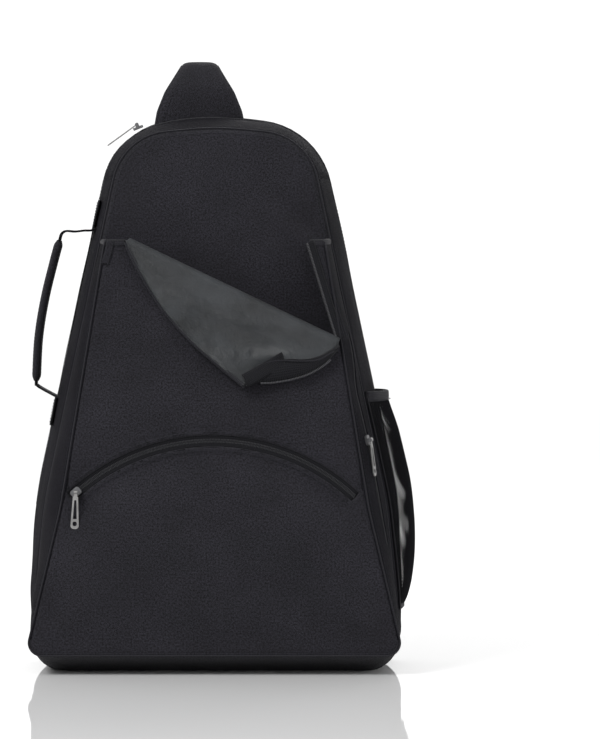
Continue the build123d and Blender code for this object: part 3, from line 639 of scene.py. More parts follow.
def body_front():
    """The main compartment's front panel, seen above the pocket and through its opening."""
    def place(flat):
        d = distance_to(flat, main_line)
        lift = PANEL_T * smoothstep(d, -1, 5) + 3.0 * (1 - bell(d, 40))
        lift += 2.6 * ripple(flat * (1.25, 0.8), 66.0, 5.0) * smoothstep(d, 0, 30)
        slant = (flat @ (0.62, 0.78) - 392) / 9
        fold = bell(slant, 1.0) - bell(slant - 2.0, 1.0) + 0.7 * bell(slant + 3.2, 1.0)
        lift += 2.6 * fold * smoothstep(flat[:, 0], 30, 95) * smoothstep(d, 0, 14)
        return MAIN.at(flat, lift * (1 - 0.75 * smoothstep(flat[:, 1], 430, 330)))

    panel("body_front_cloth", main_line, place, "shell", 1.6, step=5.0, stands_for=["front_panel"])
    ahead = unit(np.roll(main_line, -1, 0) - np.roll(main_line, 1, 0))
    sewn = main_line + np.stack([-ahead[:, 1], ahead[:, 0]], axis=1) * 5.0
    threads.line(place(sewn[sewn[:, 1] > MOUTH_Z - 30]), MAIN.normal)


def back_panel():
    """Quilted back: padded panels between sewn channels."""
    def place(flat):
        d = distance_to(flat, back_line)
        lift = 5.0 * (1 - bell(d, 14))
        for gap in (*(flat[:, 0] - x for x in QUILT_X), *(flat[:, 1] - z for z in QUILT_Z)):
            lift *= 1 - 0.75 * bell(gap, 5.0)
        lift += 0.6 * ripple(flat, 40.0, 8.0) * smoothstep(d, 0, 20)
        return upright(flat, BACK_Y + lift - 2.0 * bell(d, 3))

    quilt = panel("back_cloth", back_line, place, "air_mesh", 1.5, step=5.0, flip=True,
                  stands_for=["back_panel"])
    edge, out = upright(back_line, BODY_BACK_Y), outward(back_line)
    rim = [edge + (0, y, 0) + out * o for y, o in ((0, -0.3), (3, 0.9), (6, 0.9), (9, -0.6))]
    # The side finish carries painted shade: the shell cloth darkened.
    grid("back_edge_cloth", joined(np.stack(rim, axis=1)), "side", 1.2, flip=True)


# ---- racket pocket -------------------------------------------------------------------------------
def arch_path(radius, steps=60, spread=ARCH_HALF):
    """Points along the pouch zip's arc at a radius, from left to right."""
    a = np.linspace(-spread, spread, steps)
    return ARCH_CENTRE + radius * np.stack([np.sin(a), np.cos(a)], axis=1)


POCKET_SEAM = np.vstack([pocket_line[LEFT_TOP:], pocket_line[: RIGHT_TOP + 1]])
POCKET_EDGE = np.vstack([POCKET_SEAM, [ZIP_TOP, FOLD_C, FOLD_A]])
ARCH_SEAM = 9.4


def front_lift(flat):
    """How far the pocket's front stands out of its plane."""
    flat = np.asarray(flat, float)
    d, seam = distance_to(flat, POCKET_EDGE), distance_to(flat, POCKET_SEAM, closed=False)
    crown = 3.0 + 4.5 * smoothstep(flat[:, 1], 250, 110)
    near_fold = bell(distance_to(flat, np.array([FOLD_A, FOLD_C]), closed=False), 60)
    lift = crown * (1 - bell(seam, 42)) * (1 - 0.8 * near_fold) - 1.6 * bell(seam, 2.0)
    polar = flat - ARCH_CENTRE
    off_zip = np.hypot(polar[:, 0], polar[:, 1]) - ARCH_R
    angle = np.arctan2(polar[:, 0], polar[:, 1])
    beside = smoothstep(-np.abs(angle), -ARCH_HALF - 0.06, -ARCH_HALF + 0.02)
    ridge = 1.9 * bell(np.abs(off_zip) - 7.6, 2.0) - 1.2 * bell(np.abs(off_zip) - 11.4, 1.5)
    pull_way = (1.2 + 2.0 * smoothstep(angle, 0.40, 0.58)) * bell(off_zip + 20, 12)
    lift += beside * (ridge - 1.6 * bell(off_zip, 26) - pull_way)
    lift += 2.6 * ripple(flat * (1, 1.3), 84.0, 2.0) * smoothstep(seam, 0, 40) * (1 - near_fold)
    return lift + 0.5 * ripple(flat, 30.0, 6.0) * smoothstep(d, 0, 14)


def on_front(flat, lift=0.0):
    flat = np.atleast_2d(np.asarray(flat, float))
    return POCKET.at(flat, front_lift(flat) + lift)


def pocket_front():
    """The pocket's front with the pouch zip's slot in it, and that zip."""
    half = TAPE_W / 2 - 0.4
    slot = np.vstack([arch_path(ARCH_R - half), arch_path(ARCH_R + half)[::-1]])
    panel("pocket_front_cloth", POCKET_EDGE, on_front, "shell", POCKET_T, holes=[slot],
          stands_for=["pocket_front", "pouch_front", "pocket_zip_strip"])
    tape = np.stack([on_front(arch_path(ARCH_R + k), -1.7) for k in (-7, -3.5, 0, 3.5, 7)], axis=1)
    grid("pouch_zip_cloth", tape, "tape", 0.8, flip=True, stands_for=["pouch_zip_tape"])
    middle = on_front(arch_path(ARCH_R, 200, ARCH_HALF - 0.01), -1.2)
    coil_rows("pouch_zip_teeth", middle, POCKET.normal, gap=3.8, stands_for=["pouch_zip_coil"])
    spread_sewn = ARCH_HALF + 0.012
    for radius in (ARCH_R - ARCH_SEAM, ARCH_R + ARCH_SEAM):
        threads.line(on_front(arch_path(radius, 90, spread_sewn)), POCKET.normal)
    radii = np.linspace(ARCH_R - ARCH_SEAM, ARCH_R + ARCH_SEAM, 7)[:, None]
    for a in (-spread_sewn, spread_sewn):
        end = ARCH_CENTRE + radii * (math.sin(a), math.cos(a))
        threads.line(on_front(end), POCKET.normal, pitch=2.2, length=1.8)


def pocket_walls():
    """The pocket's gussets and base, with the racket zip's slot on the right."""
    front, rear = POCKET.at(pocket_line), MAIN.at(pocket_rear_line, PANEL_T)
    out = outward((pocket_line + pocket_rear_line) / 2)
    shares = np.array([0.0, 0.03, 0.08, 0.16, 0.26, 0.36, 0.40, 0.42, 0.46, 0.50, 0.54, 0.58, 0.60, 0.64,
                       0.74, 0.85, 0.95, 1.0])
    wall = front[:, None] + (rear - front)[:, None] * shares[None, :, None]
    height = wall[:, :, 2]
    arch = np.sin(np.pi * shares)[None]
    swell = 4.0 * smoothstep(height, 24, 80) * (1 - 0.6 * smoothstep(height, 330, MOUTH_Z))
    crinkle = ripple(wall.reshape(-1, 3) * (1, 1.2, 0.5), 42.0, 4.0).reshape(height.shape)
    bulge = (swell + 2.0 * crinkle * smoothstep(height, 8, 50)) * arch**0.8
    pull_hollow = 2.2 * bell(height - 286, 20) * (wall[:, :, 0] > 0)
    bulge -= 1.5 * bell(shares[None], 0.035) + pull_hollow * arch
    wall = wall + out[:, None] * bulge[:, :, None]
    index, low_right = np.arange(len(wall)), pocket_marks[1][1]
    row_z = height[:, 8]
    near_zip = (index < RIGHT_TOP) & (row_z > ZIP_LOW_Z - 4) & (row_z < ZIP_HIGH_Z + 8) & (wall[:, 8, 0] > 0)
    slot = near_zip[:, None] & (shares[:-1] >= 0.42) & (shares[1:] <= 0.58)
    everywhere = np.ones((1, len(shares) - 1), bool)
    right = ((index >= low_right) & (index < RIGHT_TOP))[:, None] & ~slot
    ring = joined(wall)
    # The side finish used here carries painted shade: the shell cloth darkened.
    for name, keep, finish, node in (
        ("pocket_side_cloth_left", (index >= LEFT_TOP)[:, None] & everywhere, "side", "pocket_gusset_left"),
        ("pocket_side_cloth_right", right, "side", "pocket_gusset_right"),
        ("pocket_base_cloth", (index < low_right)[:, None] & everywhere, "shell", "pocket_base"),
    ):
        grid(name, ring, finish, POCKET_T, keep=keep, flip=True, stands_for=[node])
    grid("racket_zip_cloth", ring - joined(out)[:, None] * 1.1, "tape", 0.8, keep=slot, flip=True,
         stands_for=["racket_zip_tape"])
    coil_rows("racket_zip_teeth", wall[near_zip, 9] - out[near_zip] * 0.9, out[near_zip], gap=3.0,
              stands_for=["racket_zip_coil"])
    for k in (6, 12):
        threads.line(wall[near_zip, k], out[near_zip])
    seam = np.r_[LEFT_TOP:len(wall), 0:RIGHT_TOP + 1]
    sweep("pocket_piping", front[seam] + out[seam] * 0.1, out[seam], round_profile(0.95), "binding")
    threads.line(wall[seam, 2], out[seam])
    mouth_binding(wall)


def mouth_binding(wall):
    """Binding along the pocket's open top edges: both gussets and the two ends of the front."""
    profile = strap_profile(7.0, 3.2)
    for word, row, way in (("left", LEFT_TOP, -1.0), ("right", RIGHT_TOP, 1.0)):
        path = resample(wall[row] + (0, 0, -2.0), 3.0) - (way * 0.9, 0, 0)
        sweep(f"mouth_binding_{word}", path, (way, 0, 0), profile, "binding")
    for word, a, b in (("front_left", (-110.0, MOUTH_Z), FOLD_A), ("front_right", ZIP_TOP, (110.0, MOUTH_Z))):
        path = on_front(resample([a, b], 2.5) - (0, 2.0), -0.6)
        sweep(f"mouth_binding_{word}", path, POCKET.normal, profile, "binding")


def corner_strip():
    """Folded cloth sewn down beside the left gusset, at the pocket's top corner."""
    line = resample(smooth_curve([(-104.5, 433.0), (-106.5, 424.0), (-110.0, 411.0)], 6), 1.5)
    sweep("pocket_corner_strip", on_front(line, 0.9), POCKET.normal, strap_profile(7.5, 1.6), "shell")
    for shift in (-2.6, 2.6):
        threads.line(on_front(line + (shift, 0.0), 1.8), POCKET.normal, pitch=2.8, length=2.0)


ZIP_LOW_Z, ZIP_HIGH_Z = (point[2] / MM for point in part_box("racket_zip_tape"))


# ---- the flap ------------------------------------------------------------------------------------
FOLD_R = 3.0
FOLD_LIFT = 1.2
FLAP_CORNER = (30.0, 288.0)


def flap_frame():
    """The fold's start, its direction, and the direction down the folded flap, on the pocket's plane."""
    a, c = POCKET.at([FOLD_A])[0], POCKET.at([FOLD_C])[0]
    along = unit(c - a)
    down = unit(np.cross(along, POCKET.normal))
    down = down if down[2] < 0 else -down
    return a, along, down, float(np.linalg.norm(c - a))


def flap_wave(s, t, length):
    """How far the folded cloth stands off at s along the fold and t below it."""
    point = np.stack([s, t], axis=1)
    rays = np.sin(np.arctan2(t, length - s + 8) * 17.0 + 0.6) * smoothstep(length - s, 10, 90)
    soft = 3.4 * (ripple(point, 52.0, 11.0) + 0.5) + 2.3 * rays + 1.2 * ripple(point * (1.0, 1.6), 24.0, 5.0)
    return np.maximum(0.15, 1.4 + soft) * smoothstep(t, 0, 26) + 3.0 * smoothstep(t, 30, 95)


def flap_place(radius):
    """Gives the function that puts flat flap points on the folded flap, at a radius about the fold."""
    a, along, down, length = flap_frame()

    def place(flat):
        s, t = flat[:, 0], flat[:, 1]
        angle = np.clip(-t / FOLD_R, 0, math.pi)
        hang = np.where(t > 0, t, 0.0) + np.where(t < -math.pi * FOLD_R, -t - math.pi * FOLD_R, 0.0)
        wave = np.where(t > 0, flap_wave(s, np.maximum(t, 0), length), 0.0)
        return (a + np.multiply.outer(s, along) + np.multiply.outer(hang - radius * np.sin(angle), down)
                + np.multiply.outer(FOLD_LIFT + radius * np.cos(angle) + wave, POCKET.normal))
    return place


def to_flap(points):
    """Points given as x and z on the pocket's plane, as s along the fold and t below it."""
    a, along, down, _ = flap_frame()
    flat = POCKET.at(points) - a
    return np.stack([flat @ along, flat @ down], axis=1)


def flap():
    """The folded-down corner: its outer cloth, its lining, the bound edge and its half of the zip."""
    place_in, place_out = flap_place(FOLD_R - 0.6), flap_place(FOLD_R + 0.6)
    length = flap_frame()[3]
    edge = smooth_curve(to_flap([FOLD_A, (-80.0, 413.0), (-54.5, 370.0), (-24.5, 335.0), (1.0, 312.0),
                                 FLAP_CORNER]), 10)
    lower = smooth_curve(to_flap([FLAP_CORNER, (48.0, 308.0), (70.0, 314.0), (97.0, 314.0), (112.0, 320.0),
                                  (124.0, 328.0)]), 8)
    lead = -math.pi * FOLD_R - 8
    outline = np.vstack([edge, lower[1:], [(length - 3, 0.5), (length - 4, lead), (4, lead), (2, 0.0)]])
    for name, place, finish, node in (("flap_lining_cloth", place_out, "lining", ["flap_lining"]),
                                      ("flap_shell_cloth", place_in, "shell", ["flap_panel", "flap_fold_cloth"])):
        obj = panel(name, outline, place, finish, 0.9, step=3.0, body=None, stands_for=node)
        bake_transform(obj)
    sewn = resample(edge[edge[:, 1] > 1.0], 3.0)
    sweep("flap_edge_binding", place_out(sewn) - POCKET.normal * 0.2, POCKET.normal, strap_profile(4.4, 1.9),
          "binding", body="flap", stands_for=["flap_binding"])
    ahead = unit(np.gradient(sewn, axis=0))
    inner = np.stack([ahead[:, 1], -ahead[:, 0]], axis=1)
    row = place_out(sewn - inner * 1.4) + POCKET.normal * 1.1
    flap_thread.line(row, POCKET.normal, pitch=3.2, length=2.2)
    flap_zip(place_out)


flap_thread = Thread("flap_stitching", body="flap")


def flap_zip(place):
    """Half of the racket zip on the flap's edge: its tape hangs below the cloth, its end turned over."""
    free = to_flap([(30.0, 287.0), (41.0, 291.5), (58.0, 292.5), (78.0, 296.0), (96.0, 302.0), (112.0, 312.0),
                    (123.0, 324.0)])
    upper = to_flap([(33.0, 300.0), (50.0, 311.0), (72.0, 315.5), (92.0, 315.5), (106.0, 319.0), (118.0, 326.0),
                     (125.0, 329.0)])
    free, upper = (resample(smooth_curve(line, 10), 1.0) for line in (free, upper))
    free, upper = (line[np.linspace(0, len(line) - 1, 50).round().astype(int)] for line in (free, upper))
    cols = [place(upper * (1 - share) + free * share)
            + POCKET.normal * (1.0 + 2.2 * math.sin(share * math.pi * 0.9)) for share in np.linspace(0, 1, 8)]
    strip = np.stack(cols, axis=1)
    grid("flap_zip_cloth", strip, "tape", 0.8, body="flap", flip=True, stands_for=["flap_zip_tape"])
    teeth = strip[8:44, -1] + POCKET.normal * 0.6
    # These open teeth take the coil with a painted highlight.
    coil_rows("flap_zip_teeth", teeth, POCKET.normal, gap=3.2, finish="coil_painted_highlight", body="flap", rows=(1,))
    seam = to_flap([(44.0, 309.0), (62.0, 313.5), (86.0, 313.0), (104.0, 314.5), (120.0, 323.0)])
    path = place(resample(smooth_curve(seam, 8), 2.0)) + POCKET.normal * 2.6
    sweep("flap_zip_cord", path, POCKET.normal, round_profile(0.8), "binding", body="flap")
    a, b, c, d = to_flap([(27.0, 299.5), (35.0, 287.5), (71.0, 308.5), (67.0, 322.0)])
    i, j = np.arange(15)[:, None, None] / 14, np.arange(6)[None, :, None] / 5
    flat = (a + (d - a) * i) * (1 - j) + (b + (c - b) * i) * j
    hump = np.sin(np.linspace(0.15, 1, 15) * math.pi)[:, None, None] * 1.2 + 2.2
    points = place(flat.reshape(-1, 2)).reshape(15, 6, 3) + hump * POCKET.normal
    grid("flap_zip_turned_end", points, "tape", 1.0, body="flap", flip=True)


def body_zip():
    """The other half of the racket zip, left open on the pocket's strip, and the join to the closed run."""
    a, c = np.array(ZIP_TOP), np.array(FOLD_C)
    along = unit(c - a)
    across = np.array((-along[1], along[0]))
    run = a + np.outer(np.linspace(1.0, np.linalg.norm(c - a) - 4, 40), along)
    cols = [on_front(run + across * w, h) for w, h in ((-4.0, -1.4), (-2.0, 0.4), (0.0, 1.0), (2.0, 1.0),
                                                       (3.6, 0.4))]
    grid("body_zip_cloth", np.stack(cols, axis=1), "tape", 0.8, flip=True, stands_for=["flap_zip_tape_body"])
    # These open teeth take the coil with a painted highlight.
    coil_rows("body_zip_teeth", on_front(run + across * -2.2, 0.9), POCKET.normal, gap=3.0,
              finish="coil_painted_highlight", rows=(1,))
    for shift in (5.2, 7.4):
        threads.line(on_front(run + across * shift, 0.1), POCKET.normal, pitch=3.0, length=2.1)


# ---- carry handle --------------------------------------------------------------------------------
GRIP_LINE = [(-159.5, 434.0), (-165.5, 412.0), (-174.5, 375.0), (-181.0, 335.0), (-183.5, 291.0)]
HANDLE_START = [(-121.0, 446.5), (-127.0, 444.2), (-134.5, 444.0), (-143.5, 443.0), (-153.0, 443.5),
                (-157.5, 440.5)]
HANDLE_END = [(-182.5, 286.5), (-176.5, 282.5), (-171.0, 279.5), (-164.5, 276.0), (-158.0, 273.0)]


CARRY_WEB = strap_profile(25.0, 2.2)


def side_normals(path):
    """The direction out of the bag along a path in the handle's plane."""
    return unit(np.cross(unit(np.gradient(path, axis=0)), (0.0, 1.0, 0.0)))


def carry_handle():
    """The handle's webbing, its padded grip and the stitches along it."""
    line = resample(smooth_curve(upright([*HANDLE_START, *GRIP_LINE, *HANDLE_END], HANDLE_Y), 10), 2.0)
    x, z = line[:, 0], line[:, 2]
    top = line[: int(np.argmin(np.abs(z - 441.0) + (x > -155) * 99)) + 2]
    tail = line[int(np.argmax((z < 285.0) & (x < -180))):]
    for word, path, (root_x, root_z) in (("upper", top, HANDLE_START[2]), ("lower", tail, HANDLE_END[2])):
        obj = sweep(f"carry_webbing_{word}", path, side_normals(path), CARRY_WEB, "webbing", body=None,
                    stands_for=[f"carry_root_{word}"])
        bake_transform(obj)
    middle = line[(z < 441.5) & (z > 283.5)]
    sweep("carry_webbing_middle", middle, side_normals(middle), CARRY_WEB, "webbing", body="carry_handle",
          stands_for=["carry_strap"])
    grip = resample(smooth_curve(upright(GRIP_LINE, HANDLE_Y), 10), 2.0)
    share = np.linspace(0, 1, len(grip))
    ends = np.minimum(1, np.minimum(share, 1 - share) * 14 + 0.55)
    size, out = np.stack([0.5 + 0.5 * ends, ends], axis=1), side_normals(grip)
    pad = sweep("carry_grip_cover", grip, out, strap_profile(30.0, 6.4, 1.2, 11), "pad", size=size,
                body="carry_handle", stands_for=["carry_grip"])
    wide = unit(np.cross(unit(np.gradient(grip, axis=0)), out))
    grip, wide, out = (rows[4:-4] for rows in (grip, wide, out))
    for edge in (-11.5, 11.5):
        for face in (-1, 1):
            handle_thread.line(grip + wide * edge + out * (face * 3.6), out * face)
    sewn_tabs()


handle_thread = Thread("handle_stitching", body="carry_handle")


def side_point(z, y, lift=0.0, side=-1):
    """A point on the side wall at a height and depth, from the wall's own grid."""
    flat = WALL[(WALL[:, 5, 0] * side) > 0]
    flat = flat[np.argsort(flat[:, 12, 2])]
    xs, ys = ([np.interp(z, col[:, 2], col[:, axis]) for col in flat.swapaxes(0, 1)] for axis in (0, 1))
    return np.array((np.interp(y, ys, xs) + side * lift, y, z))


def sewn_tabs():
    """Webbing sewn flat on the side above and below the handle, each with a box of stitches."""
    front, rear = HANDLE_Y - 9.5, HANDLE_Y + 9.5
    for word, z0, z1 in (("upper", 444.0, 475.0), ("lower", 276.0, 246.0)):
        zs = np.linspace(z0, z1, 12)
        path = np.array([side_point(z, HANDLE_Y, 1.2) for z in zs])
        sweep(f"carry_tab_{word}_webbing", path, (-1.0, 0, 0), CARRY_WEB, "webbing",
              stands_for=[f"carry_tab_{word}"])
        a, b = zs[2], zs[-2]
        ring = [(a, front), (a, rear), (b, rear), (b, front), (a, front)]
        for (za, ya), (zb, yb) in zip(ring, ring[1:]):
            run = [side_point(za + (zb - za) * k, ya + (yb - ya) * k, 2.4) for k in np.linspace(0, 1, 8)]
            threads.line(run, (-1.0, 0, 0), pitch=3.0, length=2.2)


# ---- mesh pocket ---------------------------------------------------------------------------------
NET_ROWS, NET_COLS = 66, 34


def mesh_pocket():
    """An open net over the right side, bound along its top and sewn down on its other edges."""
    low, high = (np.array(c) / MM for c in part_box("mesh_pocket"))
    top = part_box("mesh_pocket_binding")[1][2] / MM
    y0, y1 = low[1], high[1]
    ys, zs = np.linspace(y0, y1, NET_COLS), np.linspace(low[2] + 1, top, NET_ROWS)

    def at(z, y, lift=0.0):
        share, rise = (y - y0) / (y1 - y0), (z - low[2]) / (top - low[2])
        belly = 19.0 * math.sin(math.pi * share) ** 0.55 * math.sin(min(1.0, rise * 2.4) * math.pi / 2) ** 0.6
        belly *= 1 - 0.25 * smoothstep(rise, 0.8, 1.0)
        return side_point(z, y, 0.0, 1) + (belly * 0.86 + lift + 0.4, 0, 0)

    fine = y0 + (y1 - y0) * (0.5 - 0.5 * np.cos(np.linspace(0, math.pi, 60)))
    points = np.array([even([at(z, y) for y in fine], NET_COLS) for z in zs])
    faces = [(k, k + 1, k + NET_COLS + 1, k + NET_COLS)
             for i in range(NET_ROWS - 1) for k in range(i * NET_COLS, (i + 1) * NET_COLS - 1)]
    u, v = np.meshgrid(ys, zs)
    uvs = np.stack([u.ravel(), v.ravel()], axis=1)
    net = piece("mesh_pocket_net", points.reshape(-1, 3), faces, "net", uvs, stands_for=["mesh_pocket"])
    diamond(net)
    wire = net.modifiers.new("net", "WIREFRAME")
    wire.thickness = 1.05 * MM
    wire.use_even_offset = False
    hem_z = top - 5.0
    rim = np.array([at(hem_z, y, 0.6) for y in resample([[y0 - 2], [y1 + 2]], 2.5)[:, 0]])
    normal = unit(np.cross(np.gradient(rim, axis=0), (0, 0, 1.0)))
    sweep("mesh_pocket_hem", rim, normal, strap_profile(11.0, 2.0, 0.5), "binding",
          stands_for=["mesh_pocket_binding"])
    for lift in (-3.5, 3.5):
        threads.line([at(hem_z + lift, y, 2.3) for y in np.linspace(y0, y1, 20)], (1.0, 0, 0))
    tape = strap_profile(6.0, 1.8)
    for word, spots in (("front", [(z, y0) for z in zs[::2]]), ("rear", [(z, y1) for z in zs[::2]]),
                        ("low", [(zs[0], y) for y in ys[::2]])):
        path = np.array([at(z, y, 0.6) for z, y in spots])
        sweep(f"mesh_pocket_seam_{word}", path, (1.0, 0, 0), tape, "binding")


def diamond(obj):
    """Turns a square grid into a net of diamonds, by joining the middles of its squares."""
    bm = bmesh.new()
    bm.from_mesh(obj.data)
    bmesh.ops.poke(bm, faces=bm.faces[:])
    edges = [e for e in bm.edges
             if not e.is_boundary and all(len(v.link_edges) > 4 or v.is_boundary for v in e.verts)]
    bmesh.ops.dissolve_edges(bm, edges=edges, use_verts=False)
    bm.to_mesh(obj.data)
    bm.free()


# ---- straps --------------------------------------------------------------------------------------
YOKE_X = -18.0
STRAP_LINE = [
    (71.0, 545.0), (71.0, 568.0), (75.0, 592.0), (90.0, 612.0), (106.0, 588.0), (107.0, 540.0),
    (117.0, 440.0), (121.0, 350.0), (113.0, 260.0), (101.0, 205.0),
]
YOKE_EDGE = [(535.0, 45.0), (552.0, 45.0), (566.0, 42.5), (586.0, 34.5), (603.0, 24.0), (618.0, 15.0)]


PAD_T = 12.0


def strap_out(spine):
    """The direction at right angles to a strap's spine, in the YZ plane."""
    ahead = unit(np.gradient(spine, axis=0))
    return np.stack([np.zeros(len(spine)), -ahead[:, 2], ahead[:, 1]], axis=1)


def strap_piece(name, spine, half_widths, offsets, node):
    """A padded strap along a spine in the YZ plane, with its own half width and sideways place."""
    out = strap_out(spine)
    if out[len(out) // 2, 1] < -0.5:
        out = -out
    a = np.linspace(0, 2 * math.pi, 28, endpoint=False)
    waves = ((np.cos(a), 0.55), (np.sin(a), 0.75))
    ring = np.stack([np.sign(wave) * np.abs(wave) ** power for wave, power in waves], axis=1)
    rows = np.array([p + (x, 0, 0) + ring[:, :1] * (w, 0, 0) + ring[:, 1:] * o * PAD_T / 2
                     for p, o, w, x in zip(spine, out, half_widths, offsets)])
    n, m = rows.shape[:2]
    uvs = np.stack([np.tile(ring[:, 0] * 40, n), np.repeat(reach_of(spine), m)], axis=1)
    piece(name, rows.reshape(-1, 3), tube_faces(n, m), "pad", uvs, stands_for=[node])


def strap_trim(name, spine, half_widths, offsets):
    """Binding along a padded strap's two edges, with a row of stitches beside each."""
    out = strap_out(spine)
    for side, word in ((-1, "a"), (1, "b")):
        edge, row = (spine + np.multiply.outer(offsets + side * (half_widths - inset), (1.0, 0, 0))
                     for inset in (0.4, 8.0))
        sweep(f"{name}_{word}", edge, out, round_profile(1.9, 2.6, 12), "binding")
        for face in (-1, 1):
            threads.line(row + out * (face * 5.2), out * face, pitch=4.0, length=2.8)


def straps():
    """The yoke, and on each side a shoulder pad with its lower strap."""
    spine = resample(smooth_curve([(0.0, y, z) for y, z in STRAP_LINE], 14), 4.0)
    top = int(np.argmax(spine[:, 2]))
    split = top + int(np.argmax(spine[top:, 2] < 535.0))
    yoke, run = spine[: split + 1], spine[split:]
    width, middle = np.interp(yoke[:, 2], *np.transpose(YOKE_EDGE)), np.full(len(yoke), YOKE_X)
    strap_piece("yoke_pad", yoke, width, middle, "strap_yoke")
    strap_trim("yoke_trim", yoke, width, middle)
    for side, word in ((-1, "left"), (1, "right")):
        inner = np.interp(run[:, 2], [205, 290, 380, 470, 535],
                          [side * 78, side * 58, side * 32, YOKE_X + side * 8, YOKE_X + side * 1.0])
        outer = np.interp(run[:, 2], [205, 290, 390, 470, 535],
                          [side * 112, side * 122, side * 102, side * 72 + YOKE_X * 0.6, YOKE_X + side * 45])
        width, middle = np.abs(outer - inner) / 2, (inner + outer) / 2
        strap_piece(f"shoulder_pad_{word}_cloth", run, width, middle, f"shoulder_pad_{word}")
        strap_trim(f"shoulder_trim_{word}", run, width, middle)
        lower_strap(side, word)


PAD_END, ANCHOR, LOCK_DROP, STRAP_TAIL = (95.0, 100.5, 205.0), (150.0, 85.6, 62.0), 27.0, 62.0
ANCHOR_PATCH = [(172.0, 30.0), (168.0, 78.0), (136.0, 72.0), (126.0, 30.0)]


def ribbon(name, path, axis, width, thickness, finish, **kw):
    """A flat strap along a path, its width along the axis."""
    normal = np.cross(axis, unit(np.gradient(path, axis=0)))
    return sweep(name, path, normal, strap_profile(width, thickness), finish, **kw)


def lower_strap(side, word):
    """The webbing loop on the pad's end, and the strap from the ladder lock to the bag's lower corner."""
    pad_end, anchor = (np.array((side * x, y, z)) for x, y, z in (PAD_END, ANCHOR))
    along = unit(anchor - pad_end)
    across = unit(np.cross(along, (0.0, 1.0, 0.0)))
    out = np.cross(across, along)
    lock = pad_end + along * LOCK_DROP

    def place(points):
        return np.array([lock + along * d + out * o for d, o in points])

    turn = place([(-34, 2.2), (-24, 2.0), (-14, 2.7), (-9.3, 0.0), (-14, -2.7), (-24, -2.0), (-34, -2.2)])
    ribbon(f"pad_loop_{word}", resample(smooth_curve(turn, 8), 1.5), across, 25.0, 1.6, "webbing",
           stands_for=[f"pad_webbing_{word}"])
    far = float(np.linalg.norm(anchor - pad_end)) - LOCK_DROP
    route = [(far, -2.6), (far * 0.6, -4.4), (30, -3.2), (4, -2.5), (-3.5, -2.2), (-5.0, 0.0), (-3.5, 2.2),
             (4, 2.5), (24, 3.4), (STRAP_TAIL - 6, 4.6), (STRAP_TAIL, 5.4)]
    run = resample(smooth_curve(place(route), 10), 1.6)
    strap = ribbon(f"strap_{word}", run, across, 25.0, 1.6, "webbing", body=None,
                   stands_for=[f"strap_webbing_{word}"])
    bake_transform(strap)
    for d in (-28.0, -22.0):
        bar = place([(d, 3.0)]) + np.multiply.outer(np.linspace(-10, 10, 9), across)
        threads.line(bar, out, pitch=2.4, length=1.9)

    def on_back(flat):
        return upright(flat, BACK_Y + 6.4)

    patch = np.array([(side * x, z) for x, z in ANCHOR_PATCH])[::side]
    # The side finish carries painted shade: the shell cloth darkened.
    panel(f"strap_anchor_{word}_cloth", patch, on_back, "side", 2.2, flip=True,
          stands_for=[f"strap_anchor_{word}"])
    middle = patch.mean(axis=0)
    threads.line(on_back(resample(middle + (joined(patch) - middle) * 0.86, 2.0)), (0.0, 1.0, 0.0))


def pouch_back():
    """The lining sheet between the pouch and the racket, sewn to the front above the pouch."""
    depth, top, slope_top, across = 16.8, 238.0, 262.0, np.linspace(-1, 1, 50)
    edges = [line[pocket_marks[1][0]: RIGHT_TOP] for line in (pocket_line, pocket_rear_line)]
    rows = []
    for z in np.linspace(17.0, slope_top, 40):
        back = depth * (1 - smoothstep(z, top - 6, slope_top))
        share = 0.04 + back / 52.0
        front_x, rear_x = (np.interp(z, edge[:, 1], edge[:, 0]) for edge in edges)
        x = across * ((1 - share) * front_x + share * rear_x - 2.5)
        rows.append(POCKET.at(np.stack([x, np.full(len(x), z)], axis=1), -1.9 - back))
    points = np.array(rows)
    points[..., 1] += 1.0 * ripple(points.reshape(-1, 3), 45.0, 7.0).reshape(points.shape[:2])
    points[-1] = on_front(points[-1][:, [0, 2]], -2.4)
    grid("pouch_back_lining", points, "lining", 0.9, flip=True, stands_for=["pouch_rear_wall"])


# ---- CAD nodes that are kept ---------------------------------------------------------------------
def kept_nodes():
    """Hardware and hidden parts keep their CAD shape and take a finish."""
    finish = {"slider": "slider", "pull": "pull", "ladder_lock": "plastic", "foam": "foam",
              "lining": "lining", "board": "plastic"}
    for name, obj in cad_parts.items():
        if obj.hide_render:
            continue
        for word, kind in finish.items():
            if word in name:
                obj.data.materials.clear()
                obj.data.materials.append(MATERIALS[kind])
                break


# ---- stage ---------------------------------------------------------------------------------------
FLOOR_REACH, FRAME_HEIGHT = 30.0, 0.739


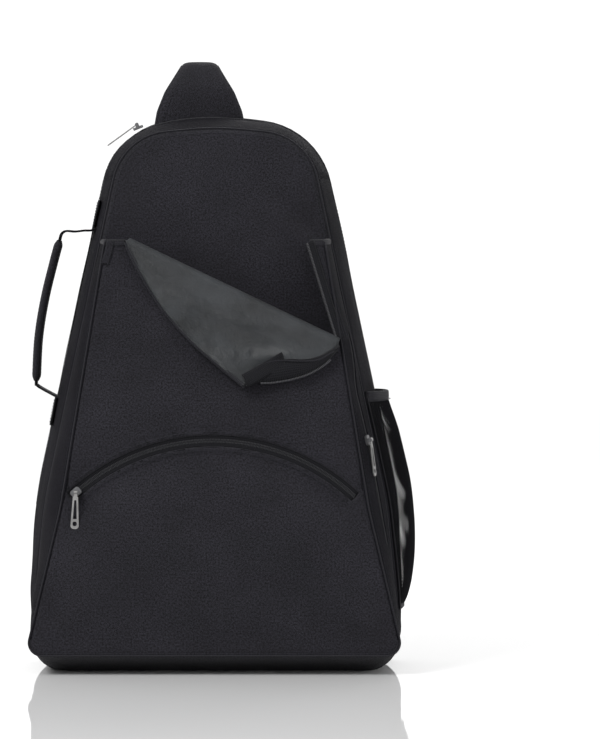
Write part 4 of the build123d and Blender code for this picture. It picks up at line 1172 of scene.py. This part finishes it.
def stage():
    """The pale glossy floor, the studio light and the camera."""
    floor = bpy.data.meshes.new("floor")
    corners = [(x * FLOOR_REACH, y * FLOOR_REACH, 0) for x, y in ((-1, -1), (1, -1), (1, 1), (-1, 1))]
    floor.from_pydata(corners, [], [(0, 1, 2, 3)])
    nodes = Nodes("floor_paint", Roughness=0.04, Base_Color=(0.62, 0.62, 0.62, 1.0))
    floor.materials.append(nodes.material)
    obj = bpy.data.objects.new("floor", floor)
    bpy.context.collection.objects.link(obj)

    world = bpy.data.worlds.new("studio")
    bpy.context.scene.world = world
    world.use_nodes = True
    world.node_tree.nodes["Background"].inputs["Color"].default_value = (1.0, 1.0, 1.0, 1.0)
    world.node_tree.nodes["Background"].inputs["Strength"].default_value = 1.1

    for name, place, target, size, power in (
        ("key", (-1.9, -1.9, 2.6), (0, 0, 0.3), 1.2, 140.0),
        ("fill", (2.4, -1.6, 1.2), (0, 0, 0.3), 1.4, 30.0),
        ("rim", (0.4, 2.4, 2.2), (0, 0, 0.4), 1.6, 40.0),
    ):
        light = bpy.data.lights.new(name, "AREA")
        light.energy, light.size = power, size
        lamp = bpy.data.objects.new(name, light)
        lamp.location = place
        lamp.rotation_euler = (Vector(target) - Vector(place)).to_track_quat("-Z", "Y").to_euler()
        bpy.context.collection.objects.link(lamp)

    camera = bpy.data.objects.new("camera", bpy.data.cameras.new("camera"))
    distance, tilt = 4.5, math.radians(2.0)
    aim = Vector((0.0855, -0.07, 0.3055))
    camera.location = aim + Vector((0, -math.cos(tilt), math.sin(tilt))) * distance
    camera.rotation_euler = (aim - camera.location).to_track_quat("-Z", "Y").to_euler()
    camera.data.lens = 36.0 * distance / FRAME_HEIGHT
    bpy.context.collection.objects.link(camera)
    bpy.context.scene.camera = camera
    bpy.context.scene.view_settings.view_transform = "Standard"


stage()
main_compartment()
body_front()
back_panel()
pocket_front()
pocket_walls()
corner_strip()
flap()
body_zip()
carry_handle()
mesh_pocket()
straps()
pouch_back()
kept_nodes()
threads.make()
flap_thread.make()
handle_thread.make()
